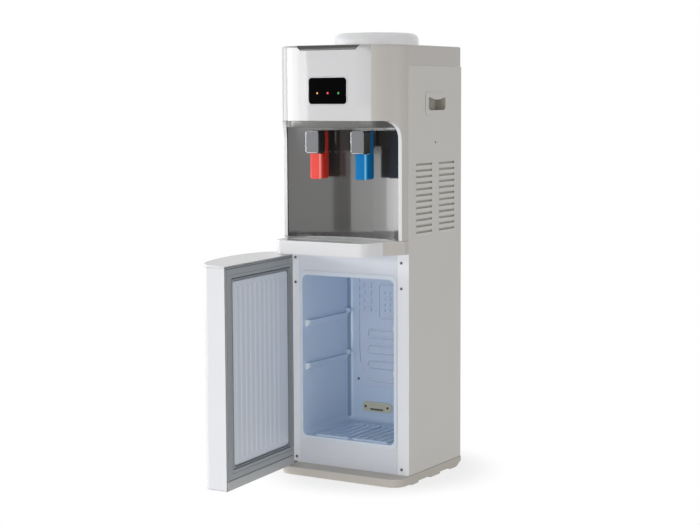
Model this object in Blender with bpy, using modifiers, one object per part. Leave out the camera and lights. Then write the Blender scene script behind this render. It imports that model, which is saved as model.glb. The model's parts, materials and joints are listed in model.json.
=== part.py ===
"""Floor water cooler with a small refrigerated compartment, two lever taps and a bottle seat.

Metres, +Z up. The origin is on the floor under the middle of the cabinet, the front looks along -Y,
and +X is the right-hand side seen from the front. The compartment's door is modelled shut and then
turned open on its hinge; every other joint is modelled at rest.
"""
import math

import bmesh
import bpy
from mathutils import Matrix, Vector

# Driving dimensions
WIDTH = 0.310
DEPTH = 0.240
BASE_HEIGHT = 0.0207
CABINET_TOP = 0.910
BAND_HEIGHT = 0.044
FRAME_TOP_SHARE = 0.5565934
SHEET = 0.001
MOULD_WALL = 0.0025
THIN_WALL = 0.0015

# Clearances: a seat, a running fit, and how far a cutter runs past what it cuts
GAP = 0.0003
SLIP = 0.0005
OVERRUN = 0.006

TOP = CABINET_TOP + BAND_HEIGHT
FRAME_TOP = CABINET_TOP * FRAME_TOP_SHARE
SIDE = WIDTH / 2
FRONT = -DEPTH / 2
BACK = DEPTH / 2
PANEL_FOOT = BASE_HEIGHT + GAP
INNER_SIDE = SIDE - SHEET - GAP

# Smoothness of round shapes, in sides or steps
ROUND_SIDES = 20
PIN_SIDES = 12
CORNER_STEPS = 5
BEND_STEPS = 8
TURN_STEPS = 32

# Base tray
BASE_LIP = 0.0015
BASE_REACH = 0.047
BASE_CORNER = 0.030
BASE_NOTCH = 0.004
BASE_FRONT_LIFT = 0.003
BASE_ROOF = 0.003
BASE_SKIRT = 0.008
BASE_REAR_SLOPE = 0.022
RUNNER_SHARES = ((0.042, 0.167), (0.404, 0.581), (0.792, 0.908))

# Front flange of the side panels, and the screws in it
FLANGE = 0.0285
SCREW_INSET = 0.0184
SCREW_LOWEST = 0.0337
SCREW_DROPS = (0.0753, 0.0194)
SCREW_HEIGHTS = (SCREW_LOWEST, *[FRAME_TOP - drop for drop in SCREW_DROPS])
SCREW_HEAD = 0.0031
SCREW_HEAD_THICK = 0.0012
SCREW_SHANK = 0.0016
SCREW_LENGTH = 0.009

# Louvres in the side panels
LOUVRE_ROWS = 12
LOUVRE_DROP = 0.212
LOUVRE_TOP = CABINET_TOP - LOUVRE_DROP
LOUVRE_PITCH = 0.01335
LOUVRE_SLOT = 0.0042
LOUVRE_LENGTH_SHARE = 0.297917
LOUVRE_START_SHARES = (0.13125, 0.564583)
LOUVRE_LENGTH = DEPTH * LOUVRE_LENGTH_SHARE
LOUVRE_STARTS = [DEPTH * share for share in LOUVRE_START_SHARES]

# Carrying handles let into the side panels
HANDLE_LENGTH = 0.1019
HANDLE_HEIGHT = 0.050
HANDLE_CENTRE_SHARE = 0.517917
HANDLE_CENTRE_IN = DEPTH * HANDLE_CENTRE_SHARE
HANDLE_DROP = 0.082
HANDLE_CENTRE_Z = CABINET_TOP - HANDLE_DROP
HANDLE_BEZEL = 0.0012
HANDLE_THROAT_LENGTH = 0.0766
HANDLE_THROAT_HEIGHT = 0.028
HANDLE_LIP_DROP = 0.008
HANDLE_LIP_THICK = 0.002
HANDLE_DEPTH = 0.024
HANDLE_CORNER = 0.008

# Rear panel, set in from the back edges of the side panels
REAR_RECESS = 0.0175
REAR_FLANGE = 0.016
REAR_TOP_DROP = 0.005
REAR_TOP = CABINET_TOP - REAR_TOP_DROP

# Front frame round the refrigerated compartment
FRAME_TONGUE = 0.0195

# Refrigerated compartment
CAVITY_SIDE_IN = 0.037
CAVITY_HALF = SIDE - CAVITY_SIDE_IN
CAVITY_FLOOR = 0.085
CAVITY_ROOF_DROP = 0.0575
CAVITY_ROOF = FRAME_TOP - CAVITY_ROOF_DROP
CAVITY_BACK_MARGIN = 0.040
CAVITY_BACK_IN = DEPTH - CAVITY_BACK_MARGIN
CAVITY_CORNER = 0.012
RIM_SIDE = 0.0075
RIM_END = 0.0093
RIM_THICK = 0.0012
RAIL_SHARES = (0.442308, 0.711538)
RAIL_HEIGHTS = [CAVITY_FLOOR + share * (CAVITY_ROOF - CAVITY_FLOOR) for share in RAIL_SHARES]
RAIL_REACH = 0.007
RAIL_FALL = 0.018
RAIL_START_IN = 0.011
RAIL_BACK_GAP = 0.012
RAIL_END_IN = CAVITY_BACK_IN - RAIL_BACK_GAP

# Evaporator plate and thermostat clip on the back wall of the compartment
EVAPORATOR_MARGIN = 0.020
EVAPORATOR_HALF = CAVITY_HALF - EVAPORATOR_MARGIN
EVAPORATOR_BOTTOM = 0.170
EVAPORATOR_DROP = 0.009
EVAPORATOR_TOP = CAVITY_ROOF - EVAPORATOR_DROP
EVAPORATOR_THICK = 0.0018
EVAPORATOR_CORNER = 0.008
CHANNEL_RADIUS = 0.0028
CHANNEL_ROWS = 7
CHANNEL_MARGIN = 0.022
CLIP_MARGIN = 0.0385
CLIP_LENGTH = 0.078
CLIP_LEFT = CLIP_MARGIN - CAVITY_HALF
CLIP_RIGHT = CLIP_LEFT + CLIP_LENGTH
CLIP_BOTTOM = 0.1108
CLIP_TOP = 0.1334
CLIP_THICK = 0.004

# Foam round the compartment, and the shelf on it that carries the machinery
FOAM_TOP_DROP = 0.0048
FOAM_TOP = FRAME_TOP - FOAM_TOP_DROP
SHELF_THICK = 0.0015

# Door
DOOR_HALF = SIDE
DOOR_BACK_OUT = 0.0045
DOOR_EDGE = 0.040
DOOR_BULGE = 0.039
DOOR_BOTTOM = 0.0255
DOOR_TOP_DROP = 0.0089
DOOR_TOP_RISE = 0.0054
DOOR_TOP_INNER = FRAME_TOP - DOOR_TOP_DROP
DOOR_TOP_OUTER = DOOR_TOP_INNER + DOOR_TOP_RISE
DOOR_CAP = 0.0028
DOOR_SKIRT_TOP = 0.0443
DOOR_SKIRT_THICK = 0.007
DOOR_ARC_STEPS = 20
HINGE_INSET = 0.006
HINGE_OUT = 0.0332
HINGE_PIN = 0.0025
HINGE_PLATE = 0.0022
HINGE_ARM = 0.014
OPEN_ANGLE = 84.7
HINGE_CORNER = 0.012
SKIRT_NOTCH = 0.0075
GASKET_HOLE_MARGINS = (0.033, 0.0295)
GASKET_HOLE = (GASKET_HOLE_MARGINS[0] - DOOR_HALF, DOOR_HALF - GASKET_HOLE_MARGINS[1])
GASKET_FACE_OUT = 0.0022
GASKET_WIDTH = 0.030
GASKET_SIDE_PLAY = 0.0005
GASKET_BOTTOM = DOOR_SKIRT_TOP + GAP
GASKET_TOP = DOOR_TOP_INNER - DOOR_CAP - GASKET_SIDE_PLAY
GROOVE_DEPTH = 0.0075
LINER_MARGIN = 0.0035
DOOR_RIBS = 10
DOOR_RIB_WIDTH = 0.006
DOOR_RIB_RISE = 0.0008
DOOR_RIB_SIDE_MARGINS = (0.043, 0.0205)
DOOR_RIB_END_MARGINS = (0.0454, 0.0443)
DOOR_RIB_SPAN = (GASKET_HOLE[0] + DOOR_RIB_SIDE_MARGINS[0], GASKET_HOLE[1] - DOOR_RIB_SIDE_MARGINS[1])
DOOR_RIB_ENDS = (GASKET_BOTTOM + DOOR_RIB_END_MARGINS[0], GASKET_TOP - DOOR_RIB_END_MARGINS[1])

# Drip shelf, cup and grille
TRAY_HEIGHT = 0.0294
TRAY_BOTTOM = FRAME_TOP + GAP
TRAY_TOP = TRAY_BOTTOM + TRAY_HEIGHT
TRAY_FRONT_OUT = 0.118
TRAY_FRONT_INSET = 0.043
TRAY_WAIST_INSET = 0.031
TRAY_FRONT_HALF = SIDE - TRAY_FRONT_INSET
TRAY_WAIST_HALF = SIDE - TRAY_WAIST_INSET
TRAY_WAIST_OUT = 0.057
TRAY_WING_OUT = 0.017
TRAY_CORNER = 0.020
TRAY_TONGUE_IN = 0.026
CUP_FRONT_OUT = 0.085
CUP_SIDE_MARGIN = 0.008
CUP_HALF = TRAY_FRONT_HALF - CUP_SIDE_MARGIN
CUP_CORNER = 0.014
CUP_BACK_MARGIN = 0.003
CUP_FLOOR_THICK = 0.0025
CUP_RIM_BELOW = 0.005
GRILLE_BELOW = 0.0012
GRILLE_SLOTS = 15
GRILLE_SLOT = 0.005
GRILLE_BORDER = 0.012

# Dispensing alcove
ALCOVE_EDGE_OUT = 0.017
ALCOVE_DEPTH_IN = 0.022
ALCOVE_WALL = 0.002
ALCOVE_STEPS = 16

# Head moulding
HEAD_REACH = 0.078
HEAD_CORNER = 0.082
HEAD_HEIGHT = 0.161
HEAD_BOTTOM = TOP - HEAD_HEIGHT
HEAD_ROOF = 0.0045
HEAD_REAR_CORNER = 0.006
CHEEK_BOTTOM = TRAY_TOP + GAP
CHEEK_WIDTH = 0.008
CHEEK_OUT = 0.0222
CHEEK_SWEEP_HEIGHT = 0.040
CHEEK_SWEEP_REACH = 0.035
CHEEK_SWEEP_START = HEAD_BOTTOM - CHEEK_SWEEP_HEIGHT
TOP_ROUND = 0.0045
CHEEK_CURVE = HEAD_CORNER - CHEEK_WIDTH
CHEEK_END_RISE = HEAD_CORNER - HEAD_REACH + ALCOVE_EDGE_OUT
ALCOVE_HALF = SIDE - HEAD_CORNER + math.sqrt(CHEEK_CURVE ** 2 - CHEEK_END_RISE ** 2)
TRIM_INSET = 0.0744
TRIM_TAPER = 0.0112
TRIM_HALF_TOP = SIDE - TRIM_INSET
TRIM_HALF_BOTTOM = TRIM_HALF_TOP - TRIM_TAPER
TRIM_HEIGHT = 0.0106
TRIM_THICK = 0.004
LEDGE_INSET = 0.012
LEDGE_WIDTH = 0.006
LEDGE_DEPTH = 0.0025

# Panel under the head
TAP_PANEL_DROP = 0.0145
TAP_PANEL_BOTTOM = HEAD_BOTTOM - TAP_PANEL_DROP

# Display
DISPLAY_HALF = 0.0473
DISPLAY_DROP = 0.125
DISPLAY_HEIGHT = 0.0555
DISPLAY_BOTTOM = TOP - DISPLAY_DROP
DISPLAY_TOP = DISPLAY_BOTTOM + DISPLAY_HEIGHT
DISPLAY_CORNER = 0.007
DISPLAY_BEZEL = 0.0025
DISPLAY_BEZEL_RISE = 0.0008
LENS_THICK = 0.002
LAMP_SPACING = 0.0267
LAMP_RISE = 0.023
LAMP_Z = DISPLAY_BOTTOM + LAMP_RISE
LAMP_RADIUS = 0.0025
LAMP_BAR_HEIGHT = 0.010
LAMP_BAR_THICK = 0.003
BOARD_MARGIN = 0.003
BOARD_THICK = 0.0016

# Taps, placed either side of the middle
TAP_SPACING = 0.0575
TAP_HALF = 0.0165
CAP_DROP = 0.0072
CAP_HEIGHT = 0.0488
CAP_TOP = TAP_PANEL_BOTTOM - CAP_DROP
CAP_BOTTOM = CAP_TOP - CAP_HEIGHT
CAP_FRONT_OUT = 0.0513
CAP_BACK_OUT = 0.0238
FACE_THICK = 0.003
TAP_CORNER = 0.004
BODY_HALF = 0.0130
BODY_RISE = 0.0125
BODY_BOTTOM = CAP_BOTTOM + BODY_RISE
BODY_BACK_IN = 0.0128
SHANK_RADIUS = 0.006
SHANK_RISE = 0.019
SHANK_Z = BODY_BOTTOM + SHANK_RISE
SHANK_END_IN = 0.034
NOZZLE_RADIUS = 0.0045
NOZZLE_OUT = 0.0185
NOZZLE_LENGTH = 0.035
NOZZLE_BOTTOM = BODY_BOTTOM - NOZZLE_LENGTH
NOZZLE_BORE = 0.003
LEVER_PIVOT_OUT = 0.0170
LEVER_PIVOT_DROP = 0.0058
LEVER_PIVOT_Z = CAP_TOP - LEVER_PIVOT_DROP
LEVER_EYE = 0.0064
LEVER_PIN = 0.0015
LEVER_WALL = 0.0029
LEVER_CORNER = 0.007
PADDLE_FRONT_OUT = 0.0375
PADDLE_BACK_OUT = 0.0095
PADDLE_GAP = 0.0015
PADDLE_HEIGHT = 0.055
PADDLE_TOP = CAP_BOTTOM - PADDLE_GAP
PADDLE_BOTTOM = PADDLE_TOP - PADDLE_HEIGHT
PADDLE_CORNER = 0.006

# Bottle seat, on top behind the head
SEAT_BACK_MARGIN = 0.111
SEAT_IN = DEPTH - SEAT_BACK_MARGIN
COLLAR_RADIUS = 0.0945
COLLAR_RISE = 0.030
COLLAR_TOP = TOP + COLLAR_RISE
COLLAR_WALL = 0.003
COLLAR_SHOULDER = 0.016
COLLAR_THROAT = 0.080
COLLAR_NECK = 0.025
COLLAR_NECK_WALL = 0.006
COLLAR_DROP = 0.024
COLLAR_NECK_DROP = 0.039
PROBE_RADIUS = 0.010
PROBE_RISE = 0.021
PROBE_FOOT = 0.022
PROBE_FOOT_THICK = 0.003
PROBE_TIP = 0.005
PROBE_PLUG_DROP = 0.012

# Tanks, compressor and the hoses between them
COLD_RADIUS = 0.075
COLD_DROP = 0.005
COLD_HEIGHT = 0.125
COLD_SHOULDER = CABINET_TOP - COLD_DROP
COLD_BOTTOM = COLD_SHOULDER - COLD_HEIGHT
COLD_NECK = 0.030
HOT_RADIUS = 0.045
HOT_HEIGHT = 0.150
HOT_SIDE_MARGIN = 0.060
MACHINE_BACK_MARGIN = 0.090
HOT_X = SIDE - HOT_SIDE_MARGIN
HOT_IN = DEPTH - MACHINE_BACK_MARGIN
COMPRESSOR_RADIUS = 0.060
COMPRESSOR_HEIGHT = 0.135
COMPRESSOR_SIDE_MARGIN = 0.080
COMPRESSOR_X = COMPRESSOR_SIDE_MARGIN - SIDE
COMPRESSOR_IN = DEPTH - MACHINE_BACK_MARGIN
COMPRESSOR_FOOT = 0.010
HOSE_RADIUS = 0.004

# Fittings on the rear panel
CONDENSER_MARGIN = 0.045
CONDENSER_HALF = SIDE - CONDENSER_MARGIN
CONDENSER_BOTTOM = 0.075
CONDENSER_DROP = 0.0365
CONDENSER_TOP = FRAME_TOP - CONDENSER_DROP
CONDENSER_TUBE = 0.0025
CONDENSER_RUNS = 9
CONDENSER_BARS = 4
CONDENSER_BAR_WIDTH = 0.004
CONDENSER_BEHIND = 0.007
INLET_MARGIN = 0.065
INLET_DROP = 0.190
INLET_X = INLET_MARGIN - SIDE
INLET_Z = CABINET_TOP - INLET_DROP
INLET_HALF_WIDTH = 0.0135
INLET_HALF_HEIGHT = 0.0100
INLET_FLANGE = 0.004
INLET_FLANGE_THICK = 0.002
INLET_DEPTH = 0.018
INLET_WALL = 0.002
INLET_SOCKET = 0.014
SWITCH_DROP = 0.050
SWITCH_Z = CABINET_TOP - SWITCH_DROP
SWITCH_SPACING = 0.015
SWITCH_MARGIN = 0.075
SWITCH_X = SWITCH_MARGIN - SIDE
SWITCH_RADIUS = 0.009
SWITCH_HALF = 0.0060
SWITCH_RISE = 0.0035
DRAIN_MARGIN = 0.060
DRAIN_RISE = 0.0333
DRAIN_X = SIDE - DRAIN_MARGIN
DRAIN_Z = FOAM_TOP + DRAIN_RISE
DRAIN_CAP_RADIUS = 0.012
DRAIN_CAP_THICK = 0.008
DRAIN_STUB_RADIUS = 0.007
DRAIN_STUB_DEPTH = 0.010

WHITE = ("white_plastic", (0.86, 0.87, 0.89), 0.28, 0.0)
DOOR_WHITE = ("door_white", (0.80, 0.82, 0.86), 0.25, 0.0)
PAINTED_STEEL = ("painted_steel", (0.46, 0.45, 0.42), 0.45, 0.3)
BASE_GREY = ("base_grey", (0.30, 0.27, 0.24), 0.5, 0.0)
TRIM_GREY = ("trim_grey", (0.16, 0.15, 0.13), 0.35, 0.0)
ALCOVE_GREY = ("alcove_grey", (0.13, 0.12, 0.11), 0.15, 0.0)
BLACK = ("black_plastic", (0.012, 0.012, 0.013), 0.25, 0.0)
CHROME = ("chrome", (0.75, 0.75, 0.76), 0.15, 1.0)
RED = ("hot_red", (0.80, 0.045, 0.030), 0.25, 0.0)
BLUE = ("cold_blue", (0.0, 0.19, 0.51), 0.25, 0.0)
LINER_BLUE = ("liner_blue", (0.55, 0.68, 0.82), 0.4, 0.0)
SEAL_GREY = ("seal_grey", (0.21, 0.22, 0.22), 0.6, 0.0)
CLIP_BEIGE = ("clip_beige", (0.55, 0.50, 0.42), 0.5, 0.0)
FROSTED = ("frosted_white", (0.85, 0.86, 0.86), 0.4, 0.0)
FOAM_YELLOW = ("foam_yellow", (0.74, 0.62, 0.33), 0.9, 0.0)
STEEL = ("bare_steel", (0.52, 0.53, 0.54), 0.35, 1.0)
DARK_STEEL = ("dark_steel", (0.06, 0.06, 0.06), 0.45, 0.8)
HOSE_CLEAR = ("hose_silicone", (0.72, 0.74, 0.72), 0.45, 0.0)
BOARD_GREEN = ("board_green", (0.02, 0.13, 0.06), 0.5, 0.0)

# World directions of a flat outline's own two axes and of its extrusion
FRAMES = {
    "X": Matrix(((0, 0, 1), (1, 0, 0), (0, 1, 0))),
    "Y": Matrix(((1, 0, 0), (0, 0, -1), (0, 1, 0))),
    "Z": Matrix(((1, 0, 0), (0, 1, 0), (0, 0, 1))),
}


# Scene and helpers

def clear_scene():
    for old in list(bpy.data.objects):
        bpy.data.objects.remove(old)
    for name in ("water_cooler", "cutters"):
        collection = bpy.data.collections.new(name)
        bpy.context.scene.collection.children.link(collection)


def finish(piece, look):
    name, colour, roughness, metallic = look
    material = bpy.data.materials.get(name)
    if material is None:
        material = bpy.data.materials.new(name)
        material.use_nodes = True
        shader = material.node_tree.nodes["Principled BSDF"]
        shader.inputs["Base Color"].default_value = (*colour, 1)
        shader.inputs["Roughness"].default_value = roughness
        shader.inputs["Metallic"].default_value = metallic
    piece.data.materials.clear()
    piece.data.materials.append(material)
    return piece


def add_object(name, data):
    piece = bpy.data.objects.new(name, data)
    bpy.data.collections["water_cooler"].objects.link(piece)
    return piece


def mesh_object(name, bm):
    mesh = bpy.data.meshes.new(name)
    bmesh.ops.recalc_face_normals(bm, faces=bm.faces)
    bm.to_mesh(mesh)
    bm.free()
    mesh.shade_smooth()
    mesh.set_sharp_from_angle(angle=math.radians(30))
    return add_object(name, mesh)


def box(name, xs, ys, zs):
    """A box from its two ends along each axis."""
    bm = bmesh.new()
    bmesh.ops.create_cube(bm, size=1)
    size = Vector([abs(ends[1] - ends[0]) for ends in (xs, ys, zs)])
    middle = Vector([(ends[0] + ends[1]) / 2 for ends in (xs, ys, zs)])
    bmesh.ops.transform(bm, matrix=Matrix.Translation(middle) @ Matrix.Diagonal(size.to_4d()), verts=bm.verts)
    return mesh_object(name, bm)


def rod(name, along, across, ends, radius, sides=ROUND_SIDES):
    """A round bar along one axis; across is its centre on the outline axes of that direction."""
    bm = bmesh.new()
    length = abs(ends[1] - ends[0])
    bmesh.ops.create_cone(bm, cap_ends=True, segments=sides, radius1=radius, radius2=radius, depth=length)
    frame = FRAMES[along]
    middle = frame @ Vector((*across, along_local(along, (ends[0] + ends[1]) / 2)))
    bmesh.ops.transform(bm, matrix=Matrix.Translation(middle) @ frame.to_4x4(), verts=bm.verts)
    return mesh_object(name, bm)


def along_local(along, value):
    """The outline frame for Y extrudes towards -Y, so places along it change sign."""
    return -value if along == "Y" else value


def prism(name, loops, along, ends):
    """Flat outline, with any holes, extruded between two places on an axis."""
    curve = bpy.data.curves.new(name, "CURVE")
    curve.dimensions = "2D"
    curve.fill_mode = "BOTH"
    curve.extrude = abs(ends[1] - ends[0]) / 2
    for loop in loops:
        spline = curve.splines.new("POLY")
        spline.points.add(len(loop) - 1)
        for point, (a, b) in zip(spline.points, loop):
            point.co = (a, b, 0, 1)
        spline.use_cyclic_u = True
    frame = FRAMES[along]
    offset = frame @ Vector((0, 0, along_local(along, (ends[0] + ends[1]) / 2)))
    return curve_to_mesh(name, curve, Matrix.Translation(offset) @ frame.to_4x4())


def curve_to_mesh(name, curve, matrix):
    source = add_object(name + "_curve", curve)
    bpy.context.view_layer.update()
    mesh = bpy.data.meshes.new_from_object(source.evaluated_get(bpy.context.evaluated_depsgraph_get()))
    bpy.data.objects.remove(source)
    bm = bmesh.new()
    bm.from_mesh(mesh)
    bpy.data.meshes.remove(mesh)
    bmesh.ops.remove_doubles(bm, verts=bm.verts, dist=GAP / 100)
    bmesh.ops.transform(bm, matrix=matrix, verts=bm.verts)
    return mesh_object(name, bm)


def path_curve(name, points, radius):
    """A round tube along straight runs between points, as a curve with filled caps."""
    curve = bpy.data.curves.new(name, "CURVE")
    curve.dimensions = "3D"
    curve.bevel_depth = radius
    curve.bevel_resolution = 2
    curve.use_fill_caps = True
    spline = curve.splines.new("POLY")
    spline.points.add(len(points) - 1)
    for point, place in zip(spline.points, points):
        point.co = (*place, 1)
    return curve


def turned(name, profile, centre):
    """A profile of (radius, height) points spun about a vertical line."""
    closed = profile[0][0] > 0
    mesh = bpy.data.meshes.new(name)
    count = len(profile)
    edges = [(i, (i + 1) % count) for i in range(count if closed else count - 1)]
    mesh.from_pydata([(radius, 0, height) for radius, height in profile], edges, [])
    piece = add_object(name, mesh)
    piece.location = (*centre, 0)
    screw = piece.modifiers.new("turn", "SCREW")
    screw.steps = TURN_STEPS
    screw.render_steps = TURN_STEPS
    screw.use_merge_vertices = True
    screw.merge_threshold = GAP / 100
    screw.use_smooth_shade = True
    return piece


def boolean(piece, other, operation):
    modifier = piece.modifiers.new(other.name, "BOOLEAN")
    modifier.operation = operation
    modifier.solver = "EXACT"
    modifier.object = other
    bpy.data.collections["water_cooler"].objects.unlink(other)
    bpy.data.collections["cutters"].objects.link(other)
    other.hide_render = True
    other.display_type = "WIRE"
    return piece


def cut(piece, *others):
    for other in others:
        boolean(piece, other, "DIFFERENCE")


def join(piece, *others):
    for other in others:
        boolean(piece, other, "UNION")


def keep(piece, other):
    boolean(piece, other, "INTERSECT")


def round_edges(piece, width, steps, wanted):
    """Bevel the edges whose two end points pass a test."""
    bm = bmesh.new()
    bm.from_mesh(piece.data)
    bmesh.ops.dissolve_limit(bm, angle_limit=math.radians(1), verts=bm.verts, edges=bm.edges)
    edges = [edge for edge in bm.edges if wanted(edge.verts[0].co, edge.verts[1].co)]
    bmesh.ops.bevel(bm, geom=edges, offset=width, segments=steps, profile=0.5, affect="EDGES")
    bmesh.ops.remove_doubles(bm, verts=bm.verts, dist=GAP / 100)
    bmesh.ops.recalc_face_normals(bm, faces=bm.faces)
    bm.to_mesh(piece.data)
    bm.free()


def pivot(name, place):
    empty = bpy.data.objects.new(name, None)
    bpy.data.collections["cutters"].objects.link(empty)
    empty.location = place
    return empty


def hang(empty, *pieces):
    """Parent pieces, and what cuts them, to a joint without moving them."""
    for piece in pieces:
        piece.parent = empty
        piece.matrix_parent_inverse = Matrix.Translation(-empty.location)
        hang(empty, *[modifier.object for modifier in piece.modifiers if modifier.type == "BOOLEAN"])


# Outlines

def arc(centre, radius, start, end, steps):
    """Points on an arc between two angles in degrees, both ends included."""
    points = []
    for i in range(steps + 1):
        angle = math.radians(start + (end - start) * i / steps)
        points.append((centre[0] + radius * math.cos(angle), centre[1] + radius * math.sin(angle)))
    return points


def circle(centre, radius, sides=PIN_SIDES):
    return arc(centre, radius, 0, 360, sides)[:-1]


def rounded(corners, steps=CORNER_STEPS):
    """Corner points (a, b, radius) joined by straight runs, each corner rounded by its radius."""
    points = []
    for i, (a, b, radius) in enumerate(corners):
        here = Vector((a, b))
        if radius <= 0:
            points.append((a, b))
            continue
        back = (Vector(corners[i - 1][:2]) - here).normalized()
        ahead = (Vector(corners[(i + 1) % len(corners)][:2]) - here).normalized()
        half = back.angle(ahead) / 2
        centre = here + (back + ahead).normalized() * radius / math.sin(half)
        first = here + back * radius / math.tan(half) - centre
        last = here + ahead * radius / math.tan(half) - centre
        turn = first.angle_signed(last)
        for k in range(steps + 1):
            spoke = Matrix.Rotation(-turn * k / steps, 2) @ first
            points.append(tuple(centre + spoke))
    return points


def rectangle(a_ends, b_ends, radius=0, steps=CORNER_STEPS):
    (a0, a1), (b0, b1) = a_ends, b_ends
    return rounded([(a0, b0, radius), (a1, b0, radius), (a1, b1, radius), (a0, b1, radius)], steps)


def mirrored(half):
    """A half outline at positive a, given from front to back, completed across the middle."""
    return half + [(-a, b) for a, b in reversed(half)]


def through(middle, reach):
    return (middle - reach, middle + reach)


# Base and cabinet

def make_base():
    front = FRONT - BASE_REACH
    bottom = [(front, BASE_FRONT_LIFT)]
    for number, (start, end) in enumerate(RUNNER_SHARES):
        lift = BASE_FRONT_LIFT if number == 0 else BASE_NOTCH
        start, end = FRONT + start * DEPTH, FRONT + end * DEPTH
        bottom += [(start, lift), (start, 0), (end, 0)]
        if number < len(RUNNER_SHARES) - 1:
            bottom.append((end, BASE_NOTCH))
    side_view = bottom + [(BACK, BASE_REAR_SLOPE / 2), (BACK, BASE_HEIGHT), (front, BASE_HEIGHT)]
    half = SIDE + BASE_LIP
    base = prism("base", [side_view], "X", (-half, half))
    front_corners = [(-half, front, BASE_CORNER), (half, front, BASE_CORNER)]
    plan = rounded(front_corners + [(half, BACK, 0), (-half, BACK, 0)])
    keep(base, prism("base_plan", [plan], "Z", (-OVERRUN, BASE_HEIGHT + OVERRUN)))
    starts = [front + BASE_SKIRT] + [FRONT + end * DEPTH for start, end in RUNNER_SHARES[:-1]]
    ends = [FRONT + start * DEPTH for start, end in RUNNER_SHARES]
    for number, pocket in enumerate(zip(starts, ends)):
        reach = SIDE - (BASE_CORNER if number == 0 else BASE_SKIRT)
        cut(base, box(f"base_pocket_{number}", (-reach, reach), pocket, (-OVERRUN, BASE_HEIGHT - BASE_ROOF)))
    return finish(base, BASE_GREY)


def screw_places():
    return [(side * (SIDE - SCREW_INSET), height) for side in (-1, 1) for height in SCREW_HEIGHTS]


def screw_holes(name):
    """Clearance holes for the six front screws, as one cutter."""
    loops = [circle(place, SCREW_SHANK + GAP) for place in screw_places()]
    return prism(name, loops, "Y", (FRONT - OVERRUN, FRONT + SCREW_LENGTH + OVERRUN))


def make_side_panel(name, side):
    flange_end = SIDE - FLANGE
    plan = [
        (side * flange_end, FRONT),
        (side * SIDE, FRONT),
        (side * SIDE, BACK),
        (side * (SIDE - SHEET), BACK),
        (side * (SIDE - SHEET), FRONT + SHEET),
        (side * flange_end, FRONT + SHEET),
    ]
    panel = prism(name, [plan], "Z", (PANEL_FOOT, CABINET_TOP))
    slots = []
    for start in LOUVRE_STARTS:
        for row in range(LOUVRE_ROWS):
            middle = LOUVRE_TOP - row * LOUVRE_PITCH
            ends = (FRONT + start, FRONT + start + LOUVRE_LENGTH)
            slots.append(rectangle(ends, through(middle, LOUVRE_SLOT / 2)))
    reach = (side * SIDE - OVERRUN, side * SIDE + OVERRUN)
    cut(panel, prism(name + "_slots", slots, "X", reach))
    margin = THIN_WALL + GAP
    throat = handle_outline(HANDLE_THROAT_LENGTH / 2 + margin, HANDLE_THROAT_HEIGHT / 2 + margin)
    cut(panel, prism(name + "_throat", [throat], "X", reach))
    cut(panel, screw_holes(name + "_screws"))
    return finish(panel, PAINTED_STEEL)


def handle_outline(half_length, half_height):
    middle = FRONT + HANDLE_CENTRE_IN
    return rectangle(through(middle, half_length), through(HANDLE_CENTRE_Z, half_height), HANDLE_CORNER)


def make_handle_cup(name, side):
    half_length, half_height = HANDLE_THROAT_LENGTH / 2, HANDLE_THROAT_HEIGHT / 2
    face = SIDE + GAP + HANDLE_BEZEL
    bezel = handle_outline(HANDLE_LENGTH / 2, HANDLE_HEIGHT / 2)
    cup = prism(name, [bezel], "X", (side * (SIDE + GAP), side * face))
    wall = handle_outline(half_length + THIN_WALL, half_height + THIN_WALL)
    wall_ends = (side * (SIDE - HANDLE_DEPTH), side * (face - HANDLE_BEZEL / 2))
    join(cup, prism(name + "_wall", [wall], "X", wall_ends))
    hollow = handle_outline(half_length, half_height)
    inner_end = SIDE - HANDLE_DEPTH + THIN_WALL
    cut(cup, prism(name + "_hollow", [hollow], "X", (side * inner_end, side * (face - HANDLE_LIP_THICK))))
    middle, top = FRONT + HANDLE_CENTRE_IN, HANDLE_CENTRE_Z + half_height
    span = half_length - HANDLE_CORNER
    radius = (span ** 2 + HANDLE_LIP_DROP ** 2) / (2 * HANDLE_LIP_DROP)
    spread = math.degrees(math.asin(span / radius))
    lip = arc((middle, top - HANDLE_LIP_DROP + radius), radius, 270 + spread, 270 - spread, BEND_STEPS)
    bottom = HANDLE_CENTRE_Z - half_height
    near, far = middle - half_length, middle + half_length
    mouth = rounded([(near, bottom, HANDLE_CORNER), (far, bottom, HANDLE_CORNER), (far, top, 0)]
                    + [(a, b, 0) for a, b in lip] + [(near, top, 0)])
    mouth_ends = (side * (face - HANDLE_LIP_THICK - GAP), side * (face + OVERRUN))
    cut(cup, prism(name + "_mouth", [mouth], "X", mouth_ends))
    return finish(cup, WHITE)


def make_rear_panel():
    front = BACK - REAR_RECESS
    rear = front + REAR_FLANGE
    plan = mirrored([
        (INNER_SIDE - SHEET, front + SHEET),
        (INNER_SIDE - SHEET, rear),
        (INNER_SIDE, rear),
        (INNER_SIDE, front),
    ])
    panel = prism("rear_panel", [plan], "Z", (PANEL_FOOT, REAR_TOP))
    holes = [circle((DRAIN_X, DRAIN_Z), DRAIN_STUB_RADIUS + GAP, ROUND_SIDES)]
    inlet_height = through(INLET_Z, INLET_HALF_HEIGHT + GAP)
    holes.append(rectangle(through(INLET_X, INLET_HALF_WIDTH + GAP), inlet_height))
    for number in (-1, 1):
        across = through(SWITCH_X + number * SWITCH_SPACING, SWITCH_HALF + GAP)
        holes.append(rectangle(across, through(SWITCH_Z, SWITCH_RADIUS + GAP)))
    cut(panel, prism("rear_holes", holes, "Y", (front - OVERRUN, front + SHEET + OVERRUN)))
    return finish(panel, PAINTED_STEEL)


def cavity_outline(grow):
    return rectangle(through(0, CAVITY_HALF + grow), (CAVITY_FLOOR - grow, CAVITY_ROOF + grow), CAVITY_CORNER)


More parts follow.
